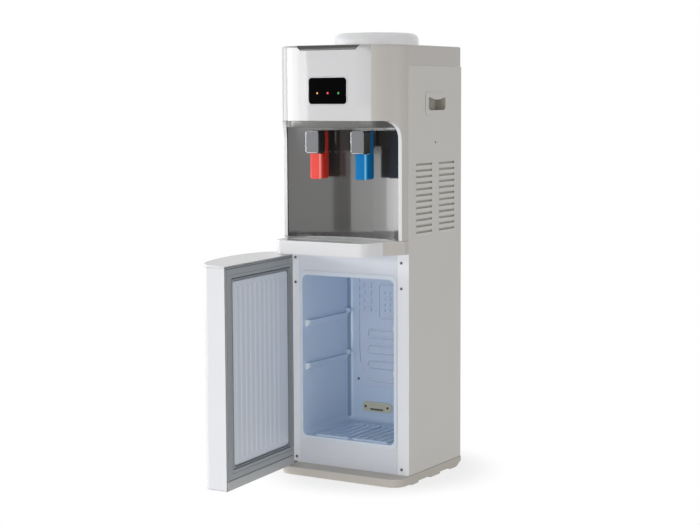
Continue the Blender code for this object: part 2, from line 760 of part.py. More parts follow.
def make_front_frame():
    inner = SIDE - FLANGE - GAP
    behind = FRONT + SHEET + GAP
    outer = inner + FRAME_TONGUE
    plan = mirrored([
        (inner, FRONT),
        (inner, behind),
        (outer, behind),
        (outer, behind + SHEET),
        (inner - SHEET, behind + SHEET),
        (inner - SHEET, FRONT + SHEET),
    ])
    frame = prism("front_frame", [plan], "Z", (PANEL_FOOT, FRAME_TOP))
    opening = cavity_outline(THIN_WALL + GAP)
    cut(frame, prism("frame_opening", [opening], "Y", through(FRONT, OVERRUN)))
    cut(frame, screw_holes("frame_screw_holes"))
    return finish(frame, WHITE)


def make_frame_screws():
    screws = []
    for number, place in enumerate(screw_places(), 1):
        name = f"frame_screw_{number}"
        screw = rod(name, "Y", place, (FRONT - GAP - SCREW_HEAD_THICK, FRONT - GAP), SCREW_HEAD, PIN_SIDES)
        shank = rod(name + "_shank", "Y", place, (FRONT - GAP - SCREW_HEAD_THICK / 2, FRONT + SCREW_LENGTH),
                    SCREW_SHANK, PIN_SIDES)
        join(screw, shank)
        screws.append(finish(screw, STEEL))
    return screws


# Refrigerated compartment

def make_fridge_liner():
    back = FRONT + CAVITY_BACK_IN
    rim_back = FRONT - GAP
    liner = prism("fridge_liner", [cavity_outline(THIN_WALL)], "Y", (rim_back - RIM_THICK, back + THIN_WALL))
    rim = rectangle(through(0, CAVITY_HALF + RIM_SIDE), (CAVITY_FLOOR - RIM_END, CAVITY_ROOF + RIM_END),
                    CAVITY_CORNER + RIM_SIDE)
    join(liner, prism("liner_rim", [rim], "Y", (rim_back - RIM_THICK, rim_back)))
    cut(liner, prism("liner_hollow", [cavity_outline(0)], "Y", (FRONT - OVERRUN, back)))
    for side in (-1, 1):
        for number, height in enumerate(RAIL_HEIGHTS):
            root, tip = side * (CAVITY_HALF + THIN_WALL / 2), side * (CAVITY_HALF - RAIL_REACH)
            slope = [(tip, height - RAIL_REACH / 2), (root, height - RAIL_FALL)]
            section = [(root, height), (tip, height)] + slope
            ends = (FRONT + RAIL_START_IN, FRONT + RAIL_END_IN)
            rail = prism(f"rail_{side}_{number}", [section], "Y", ends)
            join(liner, rail)
    return finish(liner, LINER_BLUE)


def make_fridge_foam():
    front = FRONT + 2 * (SHEET + GAP) + GAP
    back = BACK - REAR_RECESS - GAP
    foam = box("fridge_foam", through(0, INNER_SIDE), (front, back), (PANEL_FOOT, FOAM_TOP))
    bed = prism("foam_bed", [cavity_outline(THIN_WALL + GAP)], "Y",
                (front - OVERRUN, FRONT + CAVITY_BACK_IN + THIN_WALL + GAP))
    cut(foam, bed, screw_holes("foam_screw_holes"))
    return finish(foam, FOAM_YELLOW)


def make_evaporator():
    wall = FRONT + CAVITY_BACK_IN - GAP
    face = wall - EVAPORATOR_THICK
    outline = rectangle(through(0, EVAPORATOR_HALF), (EVAPORATOR_BOTTOM, EVAPORATOR_TOP), EVAPORATOR_CORNER)
    plate = prism("evaporator_plate", [outline], "Y", (face, wall))
    reach = EVAPORATOR_HALF - CHANNEL_MARGIN
    bottom, top = EVAPORATOR_BOTTOM + CHANNEL_MARGIN, EVAPORATOR_TOP - CHANNEL_MARGIN
    points = [(x, face, z) for x, z in serpentine(reach, bottom, top, CHANNEL_ROWS)]
    route = path_curve("channel", points, CHANNEL_RADIUS)
    channel = curve_to_mesh("evaporator_channel", route, Matrix.Identity(4))
    keep(channel, box("channel_limit", through(0, SIDE), (FRONT, face + EVAPORATOR_THICK / 2), (0, TOP)))
    join(plate, channel)
    return finish(plate, LINER_BLUE)


def serpentine(reach, bottom, top, rows):
    """Level runs joined by half turns at alternate ends, from the top down."""
    pitch = (top - bottom) / (rows - 1)
    points = [(-reach, top)]
    for row in range(rows - 1):
        side = 1 if row % 2 == 0 else -1
        z = top - pitch * (row + 0.5)
        bend = arc((side * (reach - pitch / 2), z), pitch / 2, 90, 90 - side * 180, BEND_STEPS)
        points += bend
    points.append((reach if rows % 2 == 1 else -reach, bottom))
    return points


def make_thermostat_clip():
    wall = FRONT + CAVITY_BACK_IN - GAP
    radius = (CLIP_TOP - CLIP_BOTTOM) / 2
    end = arc((CLIP_RIGHT - radius, CLIP_BOTTOM + radius), radius, -90, 90, BEND_STEPS)
    clip = prism("thermostat_clip", [end + [(CLIP_LEFT, CLIP_TOP), (CLIP_LEFT, CLIP_BOTTOM)]], "Y",
                 (wall - CLIP_THICK, wall))
    return finish(clip, CLIP_BEIGE)


# Door, modelled shut

def hinge_corner(inset, level):
    """Slanted corner on the door's hinge side, moved inwards by a wall, up to a level."""
    back = FRONT - DOOR_BACK_OUT
    slant = inset * math.sqrt(2)
    return [(level - back + HINGE_CORNER + slant - DOOR_HALF, level),
            (inset - DOOR_HALF, back - HINGE_CORNER - slant + inset)]


def door_outline(inset, level):
    """Plan of the door: a front that swells as half an ellipse, and a slanted hinge corner."""
    half, bulge = DOOR_HALF - inset, DOOR_BULGE
    centre = FRONT - DOOR_BACK_OUT - DOOR_EDGE
    front = []
    for i in range(DOOR_ARC_STEPS + 1):
        angle = math.pi * i / DOOR_ARC_STEPS
        front.append((-half * math.cos(angle), centre - (bulge - inset) * math.sin(angle)))
    return front + [(half, level)] + hinge_corner(inset, level)


def door_pin_hole(name):
    return rod(name, "Z", hinge_place(), (0, TRAY_TOP), HINGE_PIN + GAP, PIN_SIDES)


def hinge_place():
    return (-SIDE + HINGE_INSET, FRONT - HINGE_OUT)


def make_door_shell():
    bottom, top = DOOR_BOTTOM + DOOR_CAP + GAP, DOOR_TOP_INNER - DOOR_CAP - GAP
    back = FRONT - DOOR_BACK_OUT
    shell = prism("door_shell", [door_outline(0, back)], "Z", (bottom, top))
    hollow = door_outline(MOULD_WALL, back + OVERRUN)
    cut(shell, prism("shell_hollow", [hollow], "Z", (bottom - OVERRUN, top + OVERRUN)))
    skirt = box("shell_skirt_space", (-DOOR_HALF - OVERRUN, DOOR_HALF - SKIRT_NOTCH),
                (back - DOOR_SKIRT_THICK - GAP, back + OVERRUN), (0, DOOR_SKIRT_TOP + GAP))
    cut(shell, skirt)
    return finish(shell, DOOR_WHITE)


def make_door_caps():
    back = FRONT - DOOR_BACK_OUT
    front = back - DOOR_EDGE - DOOR_BULGE
    top_cap = prism("door_top_cap", [door_outline(0, back)], "Z",
                    (DOOR_TOP_INNER - DOOR_CAP, DOOR_TOP_OUTER))
    slope = [
        (back + OVERRUN, DOOR_TOP_INNER),
        (back, DOOR_TOP_INNER),
        (front, DOOR_TOP_OUTER),
        (front, DOOR_TOP_OUTER + OVERRUN),
        (back + OVERRUN, DOOR_TOP_OUTER + OVERRUN),
    ]
    wedge = prism("top_slope", [slope], "X", through(0, DOOR_HALF + OVERRUN))
    cut(top_cap, wedge, door_pin_hole("top_pin_hole"))
    bottom_cap = prism("door_bottom_cap", [door_outline(0, back)], "Z",
                       (DOOR_BOTTOM, DOOR_BOTTOM + DOOR_CAP))
    inner = back - DOOR_SKIRT_THICK
    free_end, hinge_end = DOOR_HALF - SKIRT_NOTCH - GAP, HINGE_CORNER - DOOR_HALF
    skirt = [(free_end, back), (hinge_end, back), (hinge_end - DOOR_SKIRT_THICK, inner), (free_end, inner)]
    join(bottom_cap, prism("bottom_skirt", [skirt], "Z", (DOOR_BOTTOM + DOOR_CAP / 2, DOOR_SKIRT_TOP)))
    cut(bottom_cap, door_pin_hole("bottom_pin_hole"))
    return finish(top_cap, DOOR_WHITE), finish(bottom_cap, DOOR_WHITE)


def gasket_span():
    """Ends of the seal across the door, clear of the shell's walls and its slanted corner."""
    wall = MOULD_WALL + GASKET_SIDE_PLAY
    return HINGE_CORNER + wall * math.sqrt(2) - DOOR_HALF, DOOR_HALF - wall


def make_door_liner():
    """Inner panel: a flange behind the seal and a raised middle with upright ribs."""
    level = FRONT - DOOR_BACK_OUT
    flange_face = level - GROOVE_DEPTH
    bottom, top = DOOR_SKIRT_TOP + GAP, DOOR_TOP_INNER - DOOR_CAP - GAP
    liner = prism("door_liner", [rectangle(gasket_span(), (bottom, top))], "Y",
                  (flange_face - THIN_WALL, flange_face))
    ends = (GASKET_BOTTOM + GASKET_WIDTH, GASKET_TOP - GASKET_WIDTH)
    span = (GASKET_HOLE[0] + LINER_MARGIN, GASKET_HOLE[1] - LINER_MARGIN)
    raised = rectangle(span, ends, CAVITY_CORNER)
    join(liner, prism("liner_raised", [raised], "Y", (flange_face - THIN_WALL / 2, level)))
    inside_ends = (ends[0] + THIN_WALL, ends[1] - THIN_WALL)
    inside = rectangle((span[0] + THIN_WALL, span[1] - THIN_WALL), inside_ends, CAVITY_CORNER)
    cut(liner, prism("liner_pan", [inside], "Y", (flange_face - OVERRUN, level - THIN_WALL)))
    first, last = DOOR_RIB_SPAN
    for number in range(DOOR_RIBS):
        x = first + (last - first) * number / (DOOR_RIBS - 1)
        rib = box(f"door_rib_{number}", through(x, DOOR_RIB_WIDTH / 2),
                  (level - THIN_WALL / 2, level + DOOR_RIB_RISE), DOOR_RIB_ENDS)
        join(liner, rib)
    return finish(liner, DOOR_WHITE)


def make_door_gasket():
    outer = rectangle(gasket_span(), (GASKET_BOTTOM, GASKET_TOP))
    border = GASKET_WIDTH - LINER_MARGIN
    hole_ends = (GASKET_BOTTOM + border, GASKET_TOP - border)
    inner = rectangle(GASKET_HOLE, hole_ends, CAVITY_CORNER)
    back = FRONT - DOOR_BACK_OUT - GROOVE_DEPTH + GAP
    gasket = prism("door_gasket", [outer, inner], "Y", (back, FRONT - GASKET_FACE_OUT))
    return finish(gasket, SEAL_GREY)


def make_hinge(name, plate_ends, pin_ends):
    """A flat bracket with its pin, reaching out from the cabinet front to the door's axis."""
    x, y = hinge_place()
    plan = rounded([(-SIDE, FRONT - SLIP, 0), (-SIDE, y - HINGE_INSET, HINGE_INSET / 2),
                    (x + HINGE_INSET, y - HINGE_INSET, HINGE_INSET / 2), (x + HINGE_ARM, FRONT - SLIP, 0)])
    hinge = prism(name, [plan], "Z", plate_ends)
    join(hinge, rod(name + "_pin", "Z", (x, y), pin_ends, HINGE_PIN, PIN_SIDES))
    return finish(hinge, STEEL)


def make_hinges():
    floor = BASE_HEIGHT + GAP
    bottom = make_hinge("hinge_bottom", (floor, floor + HINGE_PLATE),
                        (floor + HINGE_PLATE / 2, DOOR_BOTTOM + DOOR_CAP - GAP))
    roof = TRAY_BOTTOM - GAP
    top = make_hinge("hinge_top", (roof - HINGE_PLATE, roof),
                     (DOOR_TOP_INNER - DOOR_CAP + GAP, roof - HINGE_PLATE / 2))
    return bottom, top


# Drip shelf, cup and grille

def alcove_curve(inset):
    """Circle of the hollow back wall in plan: its centre and radius."""
    sag = ALCOVE_DEPTH_IN + ALCOVE_EDGE_OUT
    radius = (ALCOVE_HALF ** 2 + sag ** 2) / (2 * sag)
    return (0, FRONT + ALCOVE_DEPTH_IN - radius), radius - inset


def make_drip_shelf():
    front = FRONT - TRAY_FRONT_OUT
    flange = SIDE - FLANGE - GAP
    half = rounded([
        (0, front, 0),
        (TRAY_FRONT_HALF, front, TRAY_CORNER),
        (TRAY_WAIST_HALF, FRONT - TRAY_WAIST_OUT, TRAY_CORNER),
        (SIDE, FRONT - TRAY_WING_OUT, 0),
        (SIDE, FRONT - GAP, 0),
        (flange, FRONT - GAP, 0),
        (flange, FRONT + TRAY_TONGUE_IN, 0),
        (0, FRONT + TRAY_TONGUE_IN, 0),
    ])
    outline = half[1:-1] + [(-a, b) for a, b in reversed(half[1:-1])]
    shelf = prism("drip_shelf", [outline], "Z", (TRAY_BOTTOM, TRAY_TOP))
    well = prism("cup_well", [cup_outline(0)], "Z", (TRAY_BOTTOM + CUP_FLOOR_THICK, TRAY_TOP + OVERRUN))
    cut(shelf, well)
    return finish(shelf, WHITE)


def cup_outline(inset):
    """Plan of the drip cup, which follows the alcove's hollow back wall."""
    centre, radius = alcove_curve(CUP_BACK_MARGIN + inset)
    half = CUP_HALF - inset
    spread = math.degrees(math.asin(half / radius))
    back = arc(centre, radius, 90 - spread, 90 + spread, ALCOVE_STEPS)
    front = FRONT - CUP_FRONT_OUT + inset
    corners = [(-half, front, CUP_CORNER), (half, front, CUP_CORNER)] + [(a, b, 0) for a, b in back]
    return rounded(corners)


def cup_levels():
    bottom = TRAY_BOTTOM + CUP_FLOOR_THICK + GAP
    return bottom, TRAY_TOP - CUP_RIM_BELOW


def make_drip_cup():
    bottom, rim = cup_levels()
    cup = prism("drip_cup", [cup_outline(SLIP)], "Z", (bottom, rim))
    cut(cup, prism("cup_hollow", [cup_outline(SLIP + THIN_WALL)], "Z", (bottom + THIN_WALL, rim + OVERRUN)))
    return finish(cup, WHITE)


def make_drip_grille():
    rim = cup_levels()[1]
    inner = CUP_HALF - GRILLE_BORDER
    pitch = 2 * inner / GRILLE_SLOTS
    centre, radius = alcove_curve(CUP_BACK_MARGIN + GRILLE_BORDER)
    slots = []
    for number in range(GRILLE_SLOTS):
        x = -inner + pitch * (number + 0.5)
        back = centre[1] + math.sqrt(radius ** 2 - x ** 2)
        slots.append(rectangle(through(x, GRILLE_SLOT / 2), (FRONT - CUP_FRONT_OUT + GRILLE_BORDER, back)))
    grille = prism("drip_grille", [cup_outline(SLIP)] + slots, "Z", (rim + GAP, TRAY_TOP - GRILLE_BELOW))
    return finish(grille, FROSTED)


# Alcove and head

def make_alcove_liner():
    centre, radius = alcove_curve(0)
    spread = math.degrees(math.asin((ALCOVE_HALF - 2 * SLIP) / radius))
    face = arc(centre, radius, 90 - spread, 90 + spread, ALCOVE_STEPS)
    outer = radius + ALCOVE_WALL
    outer_spread = math.degrees(math.asin((ALCOVE_HALF - 2 * SLIP) / outer))
    rear = arc(centre, outer, 90 + outer_spread, 90 - outer_spread, ALCOVE_STEPS)
    liner = prism("alcove_liner", [face + rear], "Z", (TRAY_TOP + GAP, TAP_PANEL_BOTTOM - GAP))
    holes = [circle((side * TAP_SPACING, SHANK_Z), SHANK_RADIUS + GAP, ROUND_SIDES) for side in (-1, 1)]
    cut(liner, prism("shank_holes", holes, "Y", (FRONT - OVERRUN, FRONT + ALCOVE_DEPTH_IN + OVERRUN)))
    return finish(liner, ALCOVE_GREY)


def head_outline(inset):
    """Plan of the head and the top band, square at the back and well rounded at the front."""
    half, front, back = SIDE - inset, FRONT - HEAD_REACH + inset, BACK - inset
    corner, rear_corner = HEAD_CORNER - inset, max(HEAD_REAR_CORNER - inset, 0)
    return rounded([(-half, front, corner), (half, front, corner), (half, back, rear_corner),
                    (-half, back, rear_corner)], BEND_STEPS)


def cheek_sweep():
    """Side view of the curve from the front edge of a cheek, going up, to the underside of the head."""
    edge = FRONT - CHEEK_OUT
    sweep = []
    for i in range(BEND_STEPS + 1):
        angle = math.pi / 2 * i / BEND_STEPS
        reach = CHEEK_SWEEP_REACH * (1 - math.cos(angle))
        sweep.append((edge - reach, CHEEK_SWEEP_START + CHEEK_SWEEP_HEIGHT * math.sin(angle)))
    return sweep


def moulding_side_view():
    """Side view of the moulding: the band over the side panels, the head and the cheeks."""
    front = FRONT - HEAD_REACH - OVERRUN
    return [
        (BACK + OVERRUN, CABINET_TOP + GAP),
        (BACK + OVERRUN, TOP + OVERRUN),
        (front, TOP + OVERRUN),
        (front, HEAD_BOTTOM),
        *reversed(cheek_sweep()),
        (FRONT - CHEEK_OUT, CHEEK_BOTTOM),
        (FRONT - GAP, CHEEK_BOTTOM),
        (FRONT - GAP, CABINET_TOP + GAP),
    ]


def rounded_block(name):
    """The moulding's outer form with its top edge rounded."""
    block = prism(name, [head_outline(0)], "Z", (CHEEK_BOTTOM - OVERRUN, TOP))
    round_edges(block, TOP_ROUND, CORNER_STEPS - 2, lambda a, b: min(a.z, b.z) > TOP - GAP)
    return block


def make_head_fascia():
    fascia = rounded_block("head_fascia")
    keep(fascia, prism("moulding_side", [moulding_side_view()], "X", through(0, SIDE + OVERRUN)))
    floor = HEAD_BOTTOM + MOULD_WALL
    cut(fascia, prism("head_hollow", [head_outline(MOULD_WALL)], "Z", (floor, TOP - HEAD_ROOF)))
    low = (CHEEK_BOTTOM - 2 * OVERRUN, floor + GAP)
    cut(fascia, prism("cheek_hollow", [head_outline(CHEEK_WIDTH)], "Z", low))
    deck = prism("deck_recess", [head_outline(LEDGE_INSET)], "Z", (TOP - LEDGE_DEPTH, TOP + OVERRUN))
    opening = prism("deck_opening", [head_outline(LEDGE_INSET + LEDGE_WIDTH)], "Z",
                    (TOP - HEAD_ROOF - OVERRUN, TOP + OVERRUN))
    cut(fascia, deck, opening)
    cut(fascia, trim_block("trim_space", GAP, TRIM_THICK + GAP))
    front = FRONT - HEAD_REACH
    bezel = display_outline(GAP + DISPLAY_BEZEL)
    window = display_outline(GAP)
    bezel_ends = (front - DISPLAY_BEZEL_RISE, front + MOULD_WALL / 2)
    join(fascia, prism("display_bezel", [bezel, window], "Y", bezel_ends))
    cut(fascia, prism("display_window", [window], "Y", through(front, OVERRUN)))
    return finish(fascia, WHITE)


def trim_block(name, grow, thick):
    """Front strip at the top of the head, wider at its top than at its bottom."""
    top, bottom = TOP + OVERRUN, TOP - TRIM_HEIGHT - grow
    lean = (TRIM_HALF_TOP - TRIM_HALF_BOTTOM) / TRIM_HEIGHT
    wide = TRIM_HALF_TOP + grow + lean * OVERRUN
    narrow = TRIM_HALF_BOTTOM + grow - lean * grow
    outline = [(-narrow, bottom), (narrow, bottom), (wide, top), (-wide, top)]
    front = FRONT - HEAD_REACH
    return prism(name, [outline], "Y", (front - OVERRUN, front + thick))


def make_top_trim():
    trim = rounded_block("top_trim")
    keep(trim, trim_block("trim_form", 0, TRIM_THICK))
    return finish(trim, TRIM_GREY)


def make_tap_panel():
    """Underside of the head: a lip that shows below the fascia, and a floor that reaches the alcove."""
    ends = (TAP_PANEL_BOTTOM, HEAD_BOTTOM + MOULD_WALL)
    panel = prism("tap_panel", [head_outline(CHEEK_WIDTH + GAP)], "Z", ends)
    back = FRONT + TRAY_TONGUE_IN
    height = through(HEAD_BOTTOM, SIDE)
    cut(panel, box("panel_back", through(0, SIDE + OVERRUN), (back, BACK + OVERRUN), height))
    for side in (-1, 1):
        reach = (side * (SIDE - FLANGE - GAP), side * (SIDE + OVERRUN))
        cut(panel, box(f"panel_flange_{side}", reach, (FRONT - GAP, back + OVERRUN), height))
    return finish(panel, TRIM_GREY)


def display_outline(grow):
    return rectangle(through(0, DISPLAY_HALF + grow), (DISPLAY_BOTTOM - grow, DISPLAY_TOP + grow),
                     DISPLAY_CORNER + grow)


def make_display():
    front = FRONT - HEAD_REACH
    lens_back = front + GAP + LENS_THICK
    lamps = [(number * LAMP_SPACING, LAMP_Z) for number in (-1, 0, 1)]
    holes = [circle(place, LAMP_RADIUS + GAP) for place in lamps]
    lens = prism("display_lens", [display_outline(0)] + holes, "Y", (front + GAP, lens_back))
    bar_front = lens_back + GAP
    reach = LAMP_SPACING + LAMP_BAR_HEIGHT
    bar = box("indicator_block", through(0, reach), (bar_front, bar_front + LAMP_BAR_THICK),
              through(LAMP_Z, LAMP_BAR_HEIGHT / 2))
    for number, place in enumerate(lamps):
        lamp_ends = (front, bar_front + LAMP_BAR_THICK / 2)
        join(bar, rod(f"lamp_{number}", "Y", place, lamp_ends, LAMP_RADIUS, PIN_SIDES))
    board_front = bar_front + LAMP_BAR_THICK + GAP
    board = box("control_board", through(0, DISPLAY_HALF - BOARD_MARGIN),
                (board_front, board_front + BOARD_THICK),
                (DISPLAY_BOTTOM + BOARD_MARGIN, DISPLAY_TOP - BOARD_MARGIN))
    return finish(lens, BLACK), finish(bar, FROSTED), finish(board, BOARD_GREEN)


def make_top_cover():
    throat = circle(seat_place(), COLLAR_THROAT + GAP, TURN_STEPS)
    deck = prism("top_cover", [head_outline(LEDGE_INSET + GAP), throat], "Z",
                 (TOP - LEDGE_DEPTH + GAP, TOP))
    return finish(deck, WHITE)


# Bottle seat

def seat_place():
    return (0, FRONT + SEAT_IN)


def make_bottle_collar():
    floor = TOP - COLLAR_DROP
    neck = COLLAR_NECK - COLLAR_NECK_WALL
    inner = COLLAR_THROAT - COLLAR_WALL
    bend = (COLLAR_RADIUS - COLLAR_SHOULDER, COLLAR_TOP - COLLAR_SHOULDER)
    profile = [
        *arc(bend, COLLAR_SHOULDER, 90, 0, CORNER_STEPS),
        (COLLAR_RADIUS, TOP + GAP),
        (COLLAR_THROAT, TOP + GAP),
        (COLLAR_THROAT, floor),
        (COLLAR_NECK, floor),
        (COLLAR_NECK, TOP - COLLAR_NECK_DROP),
        (neck, TOP - COLLAR_NECK_DROP),
        (neck, floor + COLLAR_WALL),
        (inner, floor + COLLAR_WALL),
        (inner, TOP + GAP),
        (COLLAR_RADIUS - COLLAR_WALL, TOP + GAP + COLLAR_WALL),
        *arc(bend, COLLAR_SHOULDER - COLLAR_WALL, 0, 90, CORNER_STEPS),
    ]
    return finish(turned("bottle_collar", profile, seat_place()), FROSTED)


def make_bottle_probe():
    foot = TOP - COLLAR_DROP + COLLAR_WALL + GAP
    plug = COLLAR_NECK - COLLAR_NECK_WALL - GAP
    shoulder = foot + PROBE_FOOT_THICK
    profile = [
        (0, TOP + PROBE_RISE),
        (PROBE_RADIUS - PROBE_TIP, TOP + PROBE_RISE),
        (PROBE_RADIUS, TOP + PROBE_RISE - PROBE_TIP),
        (PROBE_RADIUS, shoulder),
        (PROBE_FOOT, shoulder),
        (PROBE_FOOT, foot),
        (plug, foot),
        (plug, foot - PROBE_PLUG_DROP),
        (0, foot - PROBE_PLUG_DROP),
    ]
    return finish(turned("bottle_probe", profile, seat_place()), WHITE)


# Taps

def make_tap(kind, x, look):
    """One tap: body, cap, face plate, pin and lever, with the lever on its own pivot."""
    eye = (FRONT - LEVER_PIVOT_OUT, LEVER_PIVOT_Z)
    ends = through(x, TAP_HALF)
    body = make_tap_body(kind, x, eye)
    cap_front = FRONT - CAP_FRONT_OUT + FACE_THICK + GAP
    cap = cap_block(f"{kind}_tap_cap", x, (cap_front, FRONT - CAP_BACK_OUT))
    face = cap_block(f"{kind}_tap_face", x, (FRONT - CAP_FRONT_OUT, cap_front - GAP))
    pin = rod(f"{kind}_tap_pin", "X", eye, (ends[0] + GAP, ends[1] - GAP), LEVER_PIN, PIN_SIDES)
    lever = make_lever(kind, x, eye)
    hang(pivot(f"{kind}_lever_pivot", (x, *eye)), lever)
    looks = [(body, BLACK), (cap, BLACK), (face, CHROME), (pin, STEEL), (lever, look)]
    return [finish(piece, piece_look) for piece, piece_look in looks]


def cap_block(name, x, depth):
    outline = rectangle(through(x, TAP_HALF), (CAP_BOTTOM, CAP_TOP), TAP_CORNER)
    return prism(name, [outline], "Y", depth)


def make_tap_body(kind, x, eye):
    name = f"{kind}_tap_body"
    front, back = FRONT - CAP_BACK_OUT + GAP, FRONT + BODY_BACK_IN
    drop = CAP_TOP - BODY_BOTTOM
    side_view = rounded([
        (front, BODY_BOTTOM, 0),
        (back, BODY_BOTTOM, drop / 2),
        (back, CAP_TOP, 0),
        (front, CAP_TOP, 0),
    ])
    body = prism(name, [side_view], "X", through(x, BODY_HALF))
    join(body, rod(name + "_shank", "Y", (x, SHANK_Z), (back - OVERRUN, FRONT + SHANK_END_IN), SHANK_RADIUS))
    spout = (x, FRONT - NOZZLE_OUT)
    join(body, rod(name + "_nozzle", "Z", spout, (NOZZLE_BOTTOM, BODY_BOTTOM + OVERRUN), NOZZLE_RADIUS))
    bore_ends = (NOZZLE_BOTTOM - OVERRUN, BODY_BOTTOM + OVERRUN / 2)
    cut(body, rod(name + "_bore", "Z", spout, bore_ends, NOZZLE_BORE))
    cut(body, rod(name + "_pin_hole", "X", eye, through(x, TAP_HALF + OVERRUN), LEVER_PIN + GAP, PIN_SIDES))
    return body


def make_lever(kind, x, eye):
    """Paddle below the cap, open at the back, with an arm up each side of the body to the pivot."""
    name = f"{kind}_tap_lever"
    back, front = FRONT - PADDLE_BACK_OUT, FRONT - PADDLE_FRONT_OUT
    arm = arc(eye, LEVER_EYE, 0, 180, BEND_STEPS)
    side_view = arm + [
        (eye[0] - LEVER_EYE, PADDLE_TOP),
        (front, PADDLE_TOP),
        (front, PADDLE_BOTTOM),
        (back, PADDLE_BOTTOM),
        (back, PADDLE_TOP),
        (eye[0] + LEVER_EYE, PADDLE_TOP + (back - eye[0] - LEVER_EYE)),
    ]
    lever = prism(name, [side_view], "X", through(x, TAP_HALF))
    round_edges(lever, LEVER_CORNER, CORNER_STEPS,
                lambda a, b: max(a.y, b.y) < front + GAP and abs(a.z - b.z) > GAP)
    inner = TAP_HALF - LEVER_WALL
    channel = (front + LEVER_WALL, back + OVERRUN)
    cut(lever, box(name + "_channel", through(x, inner), channel, (PADDLE_BOTTOM - OVERRUN, TOP)))
    height = LEVER_PIVOT_Z + LEVER_EYE + OVERRUN
    face_view = rounded([
        (x - TAP_HALF, PADDLE_BOTTOM, PADDLE_CORNER),
        (x + TAP_HALF, PADDLE_BOTTOM, PADDLE_CORNER),
        (x + TAP_HALF, height, 0),
        (x - TAP_HALF, height, 0),
    ])
    keep(lever, prism(name + "_front_view", [face_view], "Y", (front - OVERRUN, back + OVERRUN)))
    cut(lever, rod(name + "_eye", "X", eye, through(x, TAP_HALF + OVERRUN), LEVER_PIN + GAP, PIN_SIDES))
    return lever


# Water and cooling machinery

def make_machine_shelf():
    front = FRONT + 2 * (SHEET + GAP) + GAP
    floor = FOAM_TOP + GAP
    shelf = box("machine_shelf", through(0, INNER_SIDE), (front, BACK - REAR_RECESS - GAP),
                (floor, floor + SHELF_THICK))
    return finish(shelf, STEEL)


def shelf_top():
    return FOAM_TOP + GAP + SHELF_THICK + GAP


def make_compressor():
    foot = shelf_top()
    top = foot + COMPRESSOR_HEIGHT
    waist = foot + COMPRESSOR_FOOT
    profile = [
        (0, top),
        (COMPRESSOR_RADIUS / 2, top),
        (COMPRESSOR_RADIUS * 0.9, top - COMPRESSOR_HEIGHT / 6),
        (COMPRESSOR_RADIUS, top - COMPRESSOR_HEIGHT / 3),
        (COMPRESSOR_RADIUS, waist + COMPRESSOR_FOOT),
        (COMPRESSOR_RADIUS * 0.8, waist),
        (COMPRESSOR_RADIUS * 0.8, foot),
        (0, foot),
    ]
    return finish(turned("compressor", profile, (COMPRESSOR_X, FRONT + COMPRESSOR_IN)), DARK_STEEL)


def make_hot_tank():
    foot = shelf_top()
    tank = rod("hot_tank", "Z", (HOT_X, FRONT + HOT_IN), (foot, foot + HOT_HEIGHT), HOT_RADIUS, TURN_STEPS)
    return finish(tank, STEEL)


def make_cold_tank():
    lip = TOP - COLLAR_NECK_DROP - GAP
    slope = COLD_RADIUS / 15
    profile = [
        (0, COLD_BOTTOM + THIN_WALL),
        (COLD_RADIUS - THIN_WALL, COLD_BOTTOM + THIN_WALL),
        (COLD_RADIUS - THIN_WALL, COLD_SHOULDER - slope - THIN_WALL),
        (COLD_NECK - THIN_WALL, COLD_SHOULDER - THIN_WALL),
        (COLD_NECK - THIN_WALL, lip - THIN_WALL),
        (COLLAR_NECK - COLLAR_NECK_WALL, lip - THIN_WALL),
        (COLLAR_NECK - COLLAR_NECK_WALL, lip),
        (COLD_NECK, lip),
        (COLD_NECK, COLD_SHOULDER),
        (COLD_RADIUS, COLD_SHOULDER - slope),
        (COLD_RADIUS, COLD_BOTTOM),
        (0, COLD_BOTTOM),
    ]
    return finish(turned("cold_tank", profile, seat_place()), STEEL)


def smooth_path(places, steps=6):
    """Points of a smooth curve through a few places, with a short straight lead at each end."""
    places = [Vector(place) for place in places]
    first = places[0] + (places[1] - places[0]).normalized() * HOSE_RADIUS
    last = places[-1] + (places[-2] - places[-1]).normalized() * HOSE_RADIUS
    knots = [first] + places[1:-1] + [last]
    guides = [places[0]] + knots + [places[-1]]
    points = [places[0]]
    for a, b, c, d in zip(guides, guides[1:], guides[2:], guides[3:]):
        for i in range(steps):
            t = i / steps
            points.append(0.5 * (2 * b + (c - a) * t + (2 * a - 5 * b + 4 * c - d) * t ** 2
                                 + (3 * b - a - 3 * c + d) * t ** 3))
    return points + [last, places[-1]]


def make_hose(name, places):
    return finish(add_object(name, path_curve(name, smooth_path(places), HOSE_RADIUS)), HOSE_CLEAR)


